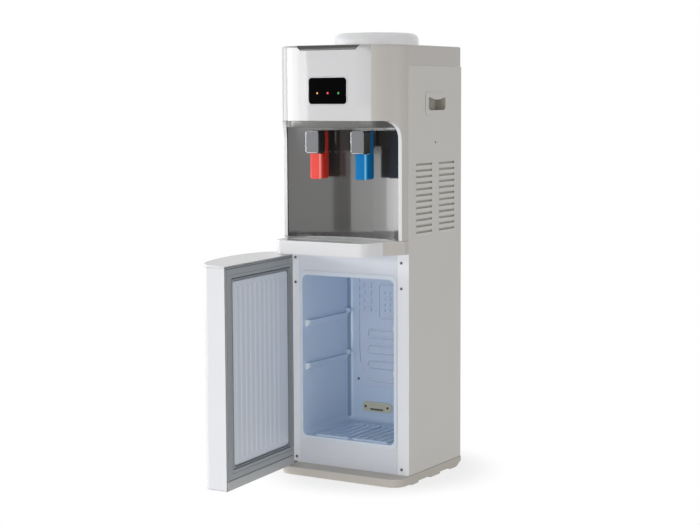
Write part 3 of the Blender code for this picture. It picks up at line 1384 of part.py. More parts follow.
def make_hoses():
    tap_end = FRONT + SHANK_END_IN + GAP
    run = SHANK_RADIUS * 2
    hot_top = shelf_top() + HOT_HEIGHT + GAP
    hot_y = FRONT + HOT_IN
    cold_floor = COLD_BOTTOM - GAP
    seat_y = FRONT + SEAT_IN
    hot = make_hose("hose_hot", [
        (HOT_X, hot_y, hot_top),
        (HOT_X, hot_y, hot_top + run),
        (HOT_X / 2, (hot_y + tap_end) / 2, SHANK_Z - run),
        (-TAP_SPACING, tap_end + 2 * run, SHANK_Z),
        (-TAP_SPACING, tap_end, SHANK_Z),
    ])
    cold_y = seat_y - COLD_RADIUS / 3
    cold = make_hose("hose_cold", [
        (TAP_SPACING, cold_y, cold_floor),
        (TAP_SPACING, cold_y, cold_floor - run / 2),
        (TAP_SPACING, cold_y - 2 * run, (cold_floor + SHANK_Z) / 2),
        (TAP_SPACING, tap_end + run, SHANK_Z),
        (TAP_SPACING, tap_end, SHANK_Z),
    ])
    feed_y = seat_y + COLD_RADIUS / 2
    hot_back = hot_y + HOT_RADIUS + GAP
    low = shelf_top() + HOT_HEIGHT / 2
    feed = make_hose("hose_feed", [
        (0, feed_y, cold_floor),
        (0, feed_y, cold_floor - 3 * run),
        (HOT_X / 3, hot_back + run, (cold_floor + low) / 2),
        (HOT_X, hot_back + run, low),
        (HOT_X, hot_back, low),
    ])
    drain_end = BACK - REAR_RECESS - DRAIN_STUB_DEPTH - GAP
    drain = make_hose("hose_drain", [
        (DRAIN_X, hot_back, DRAIN_Z),
        (DRAIN_X, (hot_back + drain_end) / 2, DRAIN_Z),
        (DRAIN_X, drain_end, DRAIN_Z),
    ])
    return hot, cold, feed, drain


def make_condenser():
    """One tube folded back and forth, with upright bars that stand it off the rear panel."""
    panel = BACK - REAR_RECESS + SHEET + GAP
    y = panel + CONDENSER_BEHIND
    runs = serpentine(CONDENSER_HALF, CONDENSER_BOTTOM, CONDENSER_TOP, CONDENSER_RUNS)
    route = path_curve("condenser_tube", [(x, y, z) for x, z in runs], CONDENSER_TUBE)
    tube = curve_to_mesh("condenser", route, Matrix.Identity(4))
    pitch = (CONDENSER_TOP - CONDENSER_BOTTOM) / (CONDENSER_RUNS - 1)
    span = CONDENSER_HALF - pitch
    for number in range(CONDENSER_BARS):
        x = -span + 2 * span * number / (CONDENSER_BARS - 1)
        bar = box(f"condenser_bar_{number}", through(x, CONDENSER_BAR_WIDTH / 2),
                  (panel, y + CONDENSER_TUBE / 3),
                  (CONDENSER_BOTTOM - CONDENSER_TUBE, CONDENSER_TOP + CONDENSER_TUBE))
        join(tube, bar)
    return finish(tube, DARK_STEEL)


def make_power_inlet():
    """Appliance inlet: a flange outside the rear panel and a socket that opens to the back."""
    outside = BACK - REAR_RECESS + SHEET + GAP
    across, up = through(INLET_X, INLET_HALF_WIDTH), through(INLET_Z, INLET_HALF_HEIGHT)
    flange = rectangle((across[0] - INLET_FLANGE, across[1] + INLET_FLANGE),
                       (up[0] - INLET_FLANGE, up[1] + INLET_FLANGE), INLET_FLANGE)
    inlet = prism("power_inlet", [flange], "Y", (outside, outside + INLET_FLANGE_THICK))
    body_end = outside + INLET_FLANGE_THICK / 2
    join(inlet, box("inlet_body", across, (body_end - INLET_DEPTH, body_end), up))
    socket = rectangle((across[0] + INLET_WALL, across[1] - INLET_WALL),
                       (up[0] + INLET_WALL, up[1] - INLET_WALL))
    back = outside + INLET_FLANGE_THICK
    cut(inlet, prism("inlet_socket", [socket], "Y", (back - INLET_SOCKET, back + OVERRUN)))
    return finish(inlet, BLACK)


def make_switch(name, x):
    """Rocker that turns about its own centre line, with a shallow V for its face."""
    y, z = BACK - REAR_RECESS + SHEET / 2, SWITCH_Z
    pressed, raised = 60, 75
    outline = arc((y, z), SWITCH_RADIUS, raised, 360 - pressed, 2 * BEND_STEPS) + [(y + SWITCH_RISE, z)]
    rocker = prism(name, [outline], "X", through(x, SWITCH_HALF))
    hang(pivot(name + "_pivot", (x, y, z)), rocker)
    return finish(rocker, BLACK)


def make_drain_cap():
    inside, outside = BACK - REAR_RECESS, BACK - REAR_RECESS + SHEET + GAP
    place = (DRAIN_X, DRAIN_Z)
    cap = rod("drain_cap", "Y", place, (outside, outside + DRAIN_CAP_THICK), DRAIN_CAP_RADIUS)
    join(cap, rod("drain_stub", "Y", place, (inside - DRAIN_STUB_DEPTH, outside + DRAIN_CAP_THICK / 2),
                  DRAIN_STUB_RADIUS))
    hang(pivot("drain_pivot", (DRAIN_X, outside, DRAIN_Z)), cap)
    return finish(cap, WHITE)


def make_door():
    hinge = pivot("door_hinge", (*hinge_place(), 0))
    hang(hinge, make_door_shell(), *make_door_caps(), make_door_liner(), make_door_gasket())
    hinge.rotation_euler.z = -math.radians(OPEN_ANGLE)


def main():
    clear_scene()
    make_base()
    for side, word in ((-1, "left"), (1, "right")):
        make_side_panel(f"side_panel_{word}", side)
        make_handle_cup(f"handle_cup_{word}", side)
    make_rear_panel()
    make_front_frame()
    make_frame_screws()
    make_fridge_liner()
    make_fridge_foam()
    make_evaporator()
    make_thermostat_clip()
    make_door()
    make_hinges()
    make_drip_shelf()
    hang(pivot("drip_lift", (*seat_place(), TRAY_TOP)), make_drip_cup(), make_drip_grille())
    make_alcove_liner()
    make_head_fascia()
    make_top_trim()
    make_tap_panel()
    make_display()
    make_top_cover()
    make_bottle_collar()
    make_bottle_probe()
    make_tap("hot", -TAP_SPACING, RED)
    make_tap("cold", TAP_SPACING, BLUE)
    make_machine_shelf()
    make_compressor()
    make_hot_tank()
    make_cold_tank()
    make_hoses()
    make_condenser()
    make_power_inlet()
    make_switch("hot_switch", SWITCH_X - SWITCH_SPACING)
    make_switch("cold_switch", SWITCH_X + SWITCH_SPACING)
    make_drain_cap()


main()
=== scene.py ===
"""Floor water cooler: finishes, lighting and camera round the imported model."""
import json
import math

import bmesh
import bpy
from mathutils import Matrix, Vector

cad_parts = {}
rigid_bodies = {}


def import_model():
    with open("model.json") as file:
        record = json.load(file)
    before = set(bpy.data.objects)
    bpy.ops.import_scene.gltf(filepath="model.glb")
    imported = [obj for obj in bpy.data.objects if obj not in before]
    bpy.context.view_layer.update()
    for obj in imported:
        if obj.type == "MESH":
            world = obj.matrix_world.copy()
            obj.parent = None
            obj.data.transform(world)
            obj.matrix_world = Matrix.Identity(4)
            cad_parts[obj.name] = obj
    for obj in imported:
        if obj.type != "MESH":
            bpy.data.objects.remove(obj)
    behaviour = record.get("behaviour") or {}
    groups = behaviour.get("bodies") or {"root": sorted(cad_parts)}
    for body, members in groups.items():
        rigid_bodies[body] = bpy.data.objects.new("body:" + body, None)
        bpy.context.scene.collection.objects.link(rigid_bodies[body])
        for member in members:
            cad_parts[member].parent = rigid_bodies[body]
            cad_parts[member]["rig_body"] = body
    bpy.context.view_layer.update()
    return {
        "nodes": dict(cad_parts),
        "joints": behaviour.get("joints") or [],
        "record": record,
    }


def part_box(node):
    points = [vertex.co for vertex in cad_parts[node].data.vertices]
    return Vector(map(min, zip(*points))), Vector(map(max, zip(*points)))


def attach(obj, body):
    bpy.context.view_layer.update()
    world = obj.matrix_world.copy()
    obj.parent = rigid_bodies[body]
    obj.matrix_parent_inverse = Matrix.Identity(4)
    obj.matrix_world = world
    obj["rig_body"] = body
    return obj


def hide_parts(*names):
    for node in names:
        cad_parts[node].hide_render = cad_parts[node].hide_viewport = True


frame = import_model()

MM = 0.001
CLOSE = 0.05 * MM
SQUARE_ON = 0.99
OVERLAP = 0.5 * MM
SLIGHT = 0.1 * MM


# Modelling helpers

def deselect():
    bpy.ops.object.select_all(action="DESELECT")


def add_object(name, data):
    piece = bpy.data.objects.new(name, data)
    bpy.context.scene.collection.objects.link(piece)
    return piece


def make_active(piece):
    deselect()
    piece.select_set(True)
    bpy.context.view_layer.objects.active = piece


def edit(piece):
    make_active(piece)
    bpy.ops.object.mode_set(mode="EDIT")
    bpy.ops.mesh.select_all(action="DESELECT")


def leave_edit():
    bpy.ops.object.mode_set(mode="OBJECT")


def apply_place(piece):
    make_active(piece)
    bpy.ops.object.transform_apply(location=True, rotation=True, scale=True)


def apply_modifiers(piece):
    make_active(piece)
    for modifier in list(piece.modifiers):
        bpy.ops.object.modifier_apply(modifier=modifier.name)


def pick_edges(piece, wanted):
    """Select the edges whose two ends pass a test, with the piece in edit mode."""
    bpy.ops.mesh.select_mode(type="EDGE")
    bm = bmesh.from_edit_mesh(piece.data)
    for edge in bm.edges:
        edge.select_set(wanted(edge.verts[0].co, edge.verts[1].co))
    bmesh.update_edit_mesh(piece.data)


def pick_faces(piece, wanted):
    """Select the faces whose middle and normal pass a test, with the piece in edit mode."""
    bpy.ops.mesh.select_mode(type="FACE")
    bm = bmesh.from_edit_mesh(piece.data)
    for face in bm.faces:
        face.select_set(wanted(face.calc_center_median(), face.normal))
    bmesh.update_edit_mesh(piece.data)


def pick_points(piece, wanted):
    """Select the points that pass a test, with the piece in edit mode."""
    bpy.ops.mesh.select_mode(type="VERT")
    bm = bmesh.from_edit_mesh(piece.data)
    for point in bm.verts:
        point.select_set(wanted(point.co))
    bm.select_flush_mode()
    bmesh.update_edit_mesh(piece.data)


def extrude(x=0, y=0, z=0):
    bpy.ops.mesh.extrude_region_move(TRANSFORM_OT_translate={"value": (x, y, z)})


def move(x=0, y=0, z=0):
    bpy.ops.transform.translate(value=(x, y, z))


def just_added(name):
    """The newest piece, named and with its place and size applied."""
    piece = bpy.context.object
    piece.name = name
    apply_place(piece)
    return piece


def box(name, low, high):
    low, high = Vector(low), Vector(high)
    deselect()
    bpy.ops.mesh.primitive_cube_add(size=1, location=(low + high) / 2)
    bpy.context.object.scale = high - low
    return just_added(name)


TURNS = {"X": (0, math.pi / 2, 0), "Y": (math.pi / 2, 0, 0), "Z": (0, 0, 0)}


def rod(name, middle, radius, length, axis="Z", sides=32):
    deselect()
    bpy.ops.mesh.primitive_cylinder_add(vertices=sides, radius=radius, depth=length, location=middle,
                                        rotation=TURNS[axis])
    return just_added(name)


def bevel(piece, width, segments, wanted):
    """Round the edges that pass a test."""
    edit(piece)
    pick_edges(piece, wanted)
    bpy.ops.mesh.bevel(offset=width, segments=segments, profile=0.5, affect="EDGES")
    leave_edit()
    return piece


def inset(piece, wanted, border, depth=0):
    """Put a border inside the faces that pass a test, and sink or raise what it encloses."""
    edit(piece)
    pick_faces(piece, wanted)
    bpy.ops.mesh.inset(thickness=border, depth=depth)
    leave_edit()


def step_front(piece, border, y):
    """Move the middle of the front face, inside a border, along the depth."""
    edit(piece)
    pick_faces(piece, faces(1, -1))
    bpy.ops.mesh.inset(thickness=border, depth=0)
    extrude(y=y)
    leave_edit()


def runs(axis):
    """A test for the edges that run along one axis."""
    others = [i for i in range(3) if i != axis]
    return lambda a, b: abs(a[axis] - b[axis]) > CLOSE and all(abs(a[i] - b[i]) < CLOSE for i in others)


def at(axis, value):
    """A test for the edges that lie in one plane across an axis."""
    return lambda a, b: abs(a[axis] - value) < CLOSE and abs(b[axis] - value) < CLOSE


def faces(axis, sign):
    """A test for the faces that look along one axis."""
    return lambda middle, normal: normal[axis] * sign > SQUARE_ON


def soften(piece, width, segments=2, angle=35):
    """Round every edge that turns by more than an angle."""
    edges = piece.modifiers.new("soft edges", "BEVEL")
    edges.width = width
    edges.segments = segments
    edges.limit_method = "ANGLE"
    edges.angle_limit = math.radians(angle)
    apply_modifiers(piece)
    return piece


def cut(piece, tool):
    """Take one piece's shape out of another, and remove it."""
    boolean = piece.modifiers.new("cut", "BOOLEAN")
    boolean.operation = "DIFFERENCE"
    boolean.object = tool
    apply_modifiers(piece)
    bpy.data.objects.remove(tool)


def gather(piece, *others):
    """Join closed bodies into one object."""
    deselect()
    for other in (piece, *others):
        other.select_set(True)
    bpy.context.view_layer.objects.active = piece
    bpy.ops.object.join()
    return piece


def mirror_piece(piece, name):
    """A copy on the other side of the cabinet, with its faces turned right side out."""
    make_active(piece)
    bpy.ops.object.duplicate(linked=False)
    copied = bpy.context.object
    copied.name = name
    copied.scale = (-1, 1, 1)
    apply_place(copied)
    edit(copied)
    bpy.ops.mesh.select_all(action="SELECT")
    bpy.ops.mesh.normals_make_consistent(inside=False)
    leave_edit()
    return copied


def smooth(piece, angle=30):
    """Smooth shading between sharp edges, with flat faces kept flat beside their soft edges."""
    make_active(piece)
    bpy.ops.object.shade_smooth_by_angle(angle=math.radians(angle))
    even = piece.modifiers.new("even normals", "WEIGHTED_NORMAL")
    even.keep_sharp = True
    even.weight = 100
    apply_modifiers(piece)
    return piece


def paint(piece, material, wanted):
    """Give the faces that pass a test a second material."""
    piece.data.materials.append(material)
    edit(piece)
    pick_faces(piece, wanted)
    piece.active_material_index = len(piece.data.materials) - 1
    bpy.ops.object.material_slot_assign()
    leave_edit()
    return piece


dressed = set()


def dress(piece, material, body="cabinet", replaces=(), angle=30):
    """Give a finished piece its material, its body and the nodes that it stands for."""
    smooth(piece, angle)
    piece.data.materials.clear()
    piece.data.materials.append(material)
    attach(piece, body)
    if replaces:
        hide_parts(*replaces)
        dressed.update(replaces)
    return piece


WELD_REACH = 0.01 * MM
FLAT_ANGLE = 0.5


def copy_node(node, name=None):
    """A welded copy of a node's solid, with its flat faces joined up again."""
    piece = add_object(name or node + "_skin", frame["nodes"][node].data.copy())
    edit(piece)
    bpy.ops.mesh.select_all(action="SELECT")
    bpy.ops.mesh.remove_doubles(threshold=WELD_REACH)
    bpy.ops.mesh.dissolve_limited(angle_limit=math.radians(FLAT_ANGLE))
    leave_edit()
    return piece


CREASED = {"head_fascia", "tap_panel"}
CREASE_HALF = 73 * MM
CREASE_REACH = 0.2 * MM
CREASE_FRONT = -0.18


def mark_creases(piece):
    """Keep the flat front flat where it meets the rounded corners."""
    def on_crease(p):
        return abs(abs(p.x) - CREASE_HALF) < CREASE_REACH and p.y < CREASE_FRONT

    edit(piece)
    pick_edges(piece, lambda a, b: on_crease(a) and on_crease(b))
    bpy.ops.mesh.mark_sharp()
    leave_edit()


def recast(node, width, segments=2, angle=30):
    """The node's own shape with its edges softened."""
    piece = copy_node(node)
    if width:
        soften(piece, width, segments)
    if node in CREASED:
        mark_creases(piece)
    material = NODE_FINISH.get(node, SLOT_FINISH[slots[node]])
    return dress(piece, material, frame["nodes"][node]["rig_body"], (node,), angle)


# Shader groups

def set_inputs(node, **values):
    for label, value in values.items():
        node.inputs[label.replace("_", " ")].default_value = value


def feed(tree, value, socket):
    """Give a socket a plain number or the output of another node."""
    if isinstance(value, float):
        socket.default_value = value
    else:
        tree.links.new(value, socket)


def math_node(tree, operation, *values):
    node = tree.nodes.new("ShaderNodeMath")
    node.operation = operation
    for socket, value in zip(node.inputs, values):
        feed(tree, value, socket)
    return node.outputs[0]


def noise_node(tree, vector, scale, detail):
    node = tree.nodes.new("ShaderNodeTexNoise")
    for label, value in (("Vector", vector), ("Scale", scale), ("Detail", detail)):
        feed(tree, value, node.inputs[label])
    return node.outputs["Fac"]


def own_place(tree):
    """Place on the piece, in the piece's own coordinates."""
    return tree.nodes.new("ShaderNodeTexCoord").outputs["Object"]


def new_group(name, inputs, outputs):
    group = bpy.data.node_groups.new(name, "ShaderNodeTree")
    for label, kind, value in inputs:
        socket = group.interface.new_socket(name=label, in_out="INPUT", socket_type=kind)
        socket.default_value = value
    for label, kind in outputs:
        group.interface.new_socket(name=label, in_out="OUTPUT", socket_type=kind)
    return group, group.nodes.new("NodeGroupInput"), group.nodes.new("NodeGroupOutput")


MOTTLE_DETAIL = 4.0
GRAIN_DETAIL = 2.0
BRUSHED_SCALE = 4.0
BRUSHED_DETAIL = 3.0
BRUSHED_RANGE = 0.15


def mottle_group():
    """Faint uneven colour and sheen over a moulded or painted surface."""
    inputs = [
        ("Colour", "NodeSocketColor", (0.8, 0.8, 0.8, 1)),
        ("Scale", "NodeSocketFloat", 6.0),
        ("Depth", "NodeSocketFloat", 0.03),
        ("Roughness", "NodeSocketFloat", 0.3),
        ("Sheen range", "NodeSocketFloat", 0.05),
    ]
    outputs = [("Colour", "NodeSocketColor"), ("Roughness", "NodeSocketFloat")]
    group, start, end = new_group("mottle", inputs, outputs)
    links = group.links
    noise = noise_node(group, own_place(group), start.outputs["Scale"], MOTTLE_DETAIL)
    darker = math_node(group, "MULTIPLY", noise, start.outputs["Depth"])
    shade = group.nodes.new("ShaderNodeVectorMath")
    shade.operation = "SCALE"
    links.new(start.outputs["Colour"], shade.inputs[0])
    links.new(math_node(group, "SUBTRACT", 1.0, darker), shade.inputs["Scale"])
    links.new(shade.outputs[0], end.inputs["Colour"])
    sheen = math_node(group, "MULTIPLY_ADD", noise, start.outputs["Sheen range"], start.outputs["Roughness"])
    links.new(sheen, end.inputs["Roughness"])
    return group


def grain_group():
    """Height of fine moulded grain or paint texture, from two sizes of noise."""
    inputs = [("Fine scale", "NodeSocketFloat", 900.0), ("Broad scale", "NodeSocketFloat", 60.0),
              ("Broad share", "NodeSocketFloat", 0.3)]
    group, start, end = new_group("grain", inputs, [("Height", "NodeSocketFloat")])
    blend = group.nodes.new("ShaderNodeMix")
    group.links.new(start.outputs["Broad share"], blend.inputs[0])
    for socket, label in ((2, "Fine scale"), (3, "Broad scale")):
        noise = noise_node(group, own_place(group), start.outputs[label], GRAIN_DETAIL)
        group.links.new(noise, blend.inputs[socket])
    group.links.new(blend.outputs[0], end.inputs["Height"])
    return group


def brushed_group():
    """Height and roughness of fine lines brushed along one axis of a metal part."""
    inputs = [("Stretch", "NodeSocketVector", (400.0, 400.0, 8.0)), ("Roughness", "NodeSocketFloat", 0.25)]
    outputs = [("Height", "NodeSocketFloat"), ("Roughness", "NodeSocketFloat")]
    group, start, end = new_group("brushed lines", inputs, outputs)
    links = group.links
    stretch = group.nodes.new("ShaderNodeVectorMath")
    stretch.operation = "MULTIPLY"
    links.new(own_place(group), stretch.inputs[0])
    links.new(start.outputs["Stretch"], stretch.inputs[1])
    noise = noise_node(group, stretch.outputs[0], BRUSHED_SCALE, BRUSHED_DETAIL)
    links.new(noise, end.inputs["Height"])
    sheen = math_node(group, "MULTIPLY_ADD", noise, BRUSHED_RANGE, start.outputs["Roughness"])
    links.new(sheen, end.inputs["Roughness"])
    return group


GROUPS = {"mottle": mottle_group(), "grain": grain_group(), "brushed": brushed_group()}


def add_group(tree, name, **values):
    node = tree.nodes.new("ShaderNodeGroup")
    node.node_tree = GROUPS[name]
    set_inputs(node, **values)
    return node


# Materials

COAT_ROUGHNESS = 0.03
SUBSURFACE_REACH = 0.005
RELIEF_HEIGHT = 0.3 * MM


def finish(name, colour, roughness, metallic=0.0, depth=0.03, scale=6.0, spread=0.05, bump=0.03, fine=900.0,
           broad=60.0, coat=0.0, specular=0.5, glow=None, subsurface=0.0):
    material = bpy.data.materials.new(name)
    material.use_nodes = True
    tree = material.node_tree
    shader = tree.nodes["Principled BSDF"]
    set_inputs(shader, Metallic=metallic, Coat_Weight=coat, Coat_Roughness=COAT_ROUGHNESS,
               Specular_IOR_Level=specular, Subsurface_Weight=subsurface, Subsurface_Scale=SUBSURFACE_REACH)
    if glow:
        set_inputs(shader, Emission_Color=(*colour, 1), Emission_Strength=glow)
    mottle = add_group(tree, "mottle", Colour=(*colour, 1), Scale=scale, Depth=depth, Roughness=roughness,
                       Sheen_range=spread)
    tree.links.new(mottle.outputs["Colour"], shader.inputs["Base Color"])
    tree.links.new(mottle.outputs["Roughness"], shader.inputs["Roughness"])
    grain = add_group(tree, "grain", Fine_scale=fine, Broad_scale=broad)
    relief = tree.nodes.new("ShaderNodeBump")
    set_inputs(relief, Strength=bump, Distance=RELIEF_HEIGHT)
    tree.links.new(grain.outputs["Height"], relief.inputs["Height"])
    tree.links.new(relief.outputs["Normal"], shader.inputs["Normal"])
    return material


def brushed(name, colour, roughness, stretch, bump=0.1):
    material = finish(name, colour, roughness, metallic=1.0)
    tree = material.node_tree
    shader = tree.nodes["Principled BSDF"]
    lines = add_group(tree, "brushed", Stretch=stretch, Roughness=roughness)
    relief = [node for node in tree.nodes if node.type == "BUMP"][0]
    relief.inputs["Strength"].default_value = bump
    tree.links.new(lines.outputs["Height"], relief.inputs["Height"])
    tree.links.new(lines.outputs["Roughness"], shader.inputs["Roughness"])
    return material


def srgb(red, green, blue):
    """Linear colour from the usual 0 to 255 values."""
    shares = [value / 255 for value in (red, green, blue)]
    return tuple(c / 12.92 if c <= 0.04045 else ((c + 0.055) / 1.055) ** 2.4 for c in shares)


WHITE = finish("gloss_white_plastic", srgb(188, 188, 190), 0.2, bump=0.012, coat=1.0, specular=0.1)
# Painted shade: a warmer white for the side faces of the head and the tray, standing in for the warm shade
# they lie in.
SIDE_SHADE_WHITE = finish("side_shade_white_plastic", srgb(208, 204, 199), 0.3, bump=0.04)
# Own white of the tray and top cover; on the head's cheek fronts it is a painted highlight.
TRAY_WHITE_AND_CHEEK_HIGHLIGHT = finish("tray_white_plastic_and_cheek_highlight", srgb(238, 238, 240), 0.22, coat=0.2)
# Painted shade: the door shell's white, darker on its faces toward the cupboard.
DOOR_INSIDE_SHADE = finish("door_inside_shade_plastic", srgb(184, 185, 186), 0.3, bump=0.04)
DOOR_WHITE = finish("door_white_plastic", srgb(240, 241, 244), 0.2, coat=0.25)
LINER_WHITE = finish("door_inner_plastic", srgb(219, 225, 234), 0.35, bump=0.05)
ENAMEL = finish("side_panel_enamel", srgb(220, 218, 213), 0.4, bump=0.08, fine=700, broad=250)
# Painted shade: the panel's enamel darkened, for the sheets behind the slots and the insides of the handles.
SHADED_ENAMEL = finish("shaded_enamel", srgb(198, 193, 186), 0.5, bump=0.08, fine=700, broad=250)
# Painted sheen and highlight: the panel's enamel lightened, for the front-facing flanges and the handles'
# upward faces.
LIT_ENAMEL = finish("lit_enamel", srgb(246, 248, 252), 0.26, bump=0.05, fine=700, broad=250)
FRAME_ENAMEL = finish("front_frame_enamel", srgb(226, 229, 237), 0.36, bump=0.06, fine=700, broad=250)
BASE_GREY = finish("base_grey_plastic", srgb(203, 197, 188), 0.45, bump=0.10, fine=1200)
TRIM_GREY = finish("trim_grey_plastic", srgb(78, 77, 75), 0.08, bump=0.012, specular=0.42)
ALCOVE_GREY = finish("alcove_gloss", srgb(58, 56, 54), 0.08, depth=0.05, coat=0.5, bump=0.0, specular=0.5)
CAP_GREY = finish("cap_gloss", srgb(50, 49, 47), 0.12, coat=0.3)
BLACK = finish("black_plastic", srgb(30, 30, 32), 0.2, coat=0.4)
SMOKED = finish("smoked_window", srgb(4, 4, 5), 0.08, depth=0.0, bump=0.0, specular=0.004)
CHROME = brushed("satin_plate", srgb(88, 89, 91), 0.28, (400, 400, 8), 0.04)
# Painted highlight: a bright metal for the lit part of the face plates' bevelled border.
PLATE_EDGE_HIGHLIGHT = brushed("plate_edge_highlight", srgb(236, 236, 238), 0.15, (60, 60, 60), 0.02)
RED = finish("hot_red_plastic", srgb(255, 66, 52), 0.12, specular=0.25)
# Painted highlights: lighter red and blue for the levers' rounded front corners.
RED_HIGHLIGHT = finish("hot_red_corner_highlight", srgb(255, 150, 140), 0.1, specular=0.4)
BLUE = finish("cold_blue_plastic", srgb(0, 128, 197), 0.12, specular=0.08)
BLUE_HIGHLIGHT = finish("cold_blue_corner_highlight", srgb(110, 190, 232), 0.1, specular=0.4)
LINER = finish("pale_blue_liner", srgb(212, 229, 248), 0.2, bump=0.04, coat=0.3)
LINER_SHADE = finish("cupboard_corner_shade", srgb(158, 178, 202), 0.3, bump=0.04)
LINER_RIM_HIGHLIGHT = finish("cupboard_rim_highlight", srgb(226, 234, 244), 0.24, bump=0.04, coat=0.3)
CATCH_HIGHLIGHT = finish("rail_catch_highlight", srgb(240, 246, 252), 0.12, bump=0.02, coat=0.5)
SEAL = finish("grey_seal", srgb(162, 166, 169), 0.5, bump=0.12)
SEAL_GROOVE_SHADE = finish("seal_groove_shade", srgb(92, 97, 100), 0.6, bump=0.1)
PLATE_HIGHLIGHT = finish("cold_plate_relief_highlight", srgb(244, 248, 255), 0.16, bump=0.03, coat=0.4)
PLATE_SHADE = finish("cold_plate_relief_shade", srgb(176, 190, 216), 0.3, bump=0.04)
PLATE_GREY = finish("cold_plate_paint", srgb(216, 227, 245), 0.2, bump=0.04, coat=0.3)
BEIGE = finish("beige_clip", srgb(216, 212, 188), 0.35)
CLIP_MOUTH_SHADE = finish("clip_slot_shade", srgb(110, 108, 98), 0.6)
# Painted light: the frosted collar glows faintly though it is no lamp.
FROSTED_GLOW = finish("frosted_plastic_glow", srgb(244, 246, 247), 0.3, subsurface=0.25, coat=0.2, glow=0.1)
STEEL = brushed("plain_steel", srgb(150, 152, 156), 0.3, (60, 60, 60))
DARK_SCREW = finish("dull_screw", srgb(112, 106, 108), 0.35, metallic=0.8)
BLACK_STEEL = finish("black_enamel", srgb(34, 34, 35), 0.4, bump=0.08)
FOAM = finish("cut_foam", srgb(222, 205, 150), 0.9, bump=0.5, fine=500)
RUBBER = finish("clear_hose", srgb(216, 220, 216), 0.4)
BOARD = finish("green_board", srgb(26, 92, 52), 0.4)
AMBER_LAMP = finish("amber_lamp", srgb(226, 160, 60), 0.2, glow=0.6)
RED_LAMP = finish("red_lamp", srgb(226, 30, 50), 0.2, glow=1.0)
GREEN_LAMP = finish("green_lamp", srgb(40, 170, 70), 0.2, glow=0.6)

SLOT_FINISH = {
    "base_grey": BASE_GREY, "painted_steel": ENAMEL, "white": WHITE, "trim_grey": TRIM_GREY, "black": BLACK,
    "frosted": FROSTED_GLOW, "board": BOARD, "alcove_grey": ALCOVE_GREY, "chrome": CHROME, "hot_red": RED,
    "cold_blue": BLUE, "steel": STEEL, "liner_blue": LINER, "foam": FOAM, "clip_beige": BEIGE,
    "door_white": DOOR_WHITE, "seal": SEAL, "dark_steel": BLACK_STEEL, "hose": RUBBER,
}

NODE_FINISH = {"front_frame": FRAME_ENAMEL, "drip_shelf": TRAY_WHITE_AND_CHEEK_HIGHLIGHT, "top_cover": TRAY_WHITE_AND_CHEEK_HIGHLIGHT}

slots = {entry["node"]: entry["material_slot"] for entry in frame["record"]["subparts"]}


# Cooled cupboard

RIM_WIDTH = (7.5 * MM, 9.3 * MM)
RIM_EDGE = 0.35 * MM
LINER_WALL = 1.2 * MM
LINER_BACK_ROOM = 1.5 * MM
CUPBOARD_CORNER = 12 * MM
RAIL_REACH = 7 * MM
RAIL_FALL = 18 * MM
RAIL_SLOPE = 0.6
RAIL_EDGE = 1.6 * MM
RAIL_TOPS = (0.246, 0.344)
RAIL_START = 12.5 * MM
RAIL_BACK_GAP = 13.5 * MM
BOSS_RADIUS = 6 * MM
BOSS_LENGTH = 8 * MM
BOSS_EDGE = 1.2 * MM
BOSS_SHARES = (0.75, 0.6)
CATCH = (9 * MM, 8 * MM, 13 * MM)
CATCH_SLOPE = 6 * MM
CATCH_EDGE = 0.7 * MM


def make_cupboard_liner():
    """Cold cupboard: a rounded pan open to the front, with a rim, shelf rails and a ribbed floor."""
    low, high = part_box("fridge_liner")
    half = high.x - RIM_WIDTH[0]
    floor, roof = low.z + RIM_WIDTH[1], high.z - RIM_WIDTH[1]
    front, back = low.y, high.y - LINER_BACK_ROOM
    pan = box("cupboard_liner", (-half, front, floor), (half, back, roof))
    edit(pan)
    pick_faces(pan, faces(1, -1))
    bpy.ops.mesh.delete(type="FACE")
    pick_edges(pan, lambda a, b: max(a.y, b.y) > front + MM)
    bpy.ops.mesh.bevel(offset=CUPBOARD_CORNER, segments=8, profile=0.5, affect="EDGES")
    bpy.ops.mesh.select_all(action="SELECT")
    bpy.ops.mesh.flip_normals()
    pick_edges(pan, at(1, front))
    bpy.ops.mesh.extrude_edges_move()
    middle = (0, front, (floor + roof) / 2)
    grow = (high.x / half, 1, (high.z - low.z) / (roof - floor))
    bpy.ops.transform.resize(value=grow, center_override=middle)
    leave_edit()
    wall = pan.modifiers.new("wall", "SOLIDIFY")
    wall.thickness = LINER_WALL
    wall.offset = -1
    apply_modifiers(pan)
    soften(pan, RIM_EDGE, 2, 50)
    start = front + RAIL_START
    parts = []
    for top in RAIL_TOPS:
        for side in (-1, 1):
            parts += make_rail(side, half, top, start, back - RAIL_BACK_GAP)
    gather(pan, *parts, *make_floor_pads(floor, front))
    dress(pan, LINER, replaces=["fridge_liner"], angle=40)

    def in_back_corner(m, n):
        upright = abs(n.x) > 0.5 and n.y < -0.1 and abs(n.z) < 0.1
        return upright and m.y > back - CUPBOARD_CORNER - MM and abs(m.x) > half - CUPBOARD_CORNER

    def on_catch(m, n):
        beside_wall = half - CATCH[0] - MM < abs(m.x) < half - SLIGHT
        in_depth = start - MM < m.y < start + CATCH[1] + 0.5 * MM
        return beside_wall and in_depth and any(
            top - CATCH[2] - MM < m.z < top + 1.2 * MM for top in RAIL_TOPS)

    # Painted shade on the rounded back corners of the cupboard.
    paint(pan, LINER_SHADE, in_back_corner)
    # Painted highlight: the rim's front faces paler and lighter than the same liner plastic inside.
    paint(pan, LINER_RIM_HIGHLIGHT, lambda m, n: n.y < -0.9 and m.y < front + MM)
    # Painted highlight: the rail catches in a bright white.
    paint(pan, CATCH_HIGHLIGHT, on_catch)


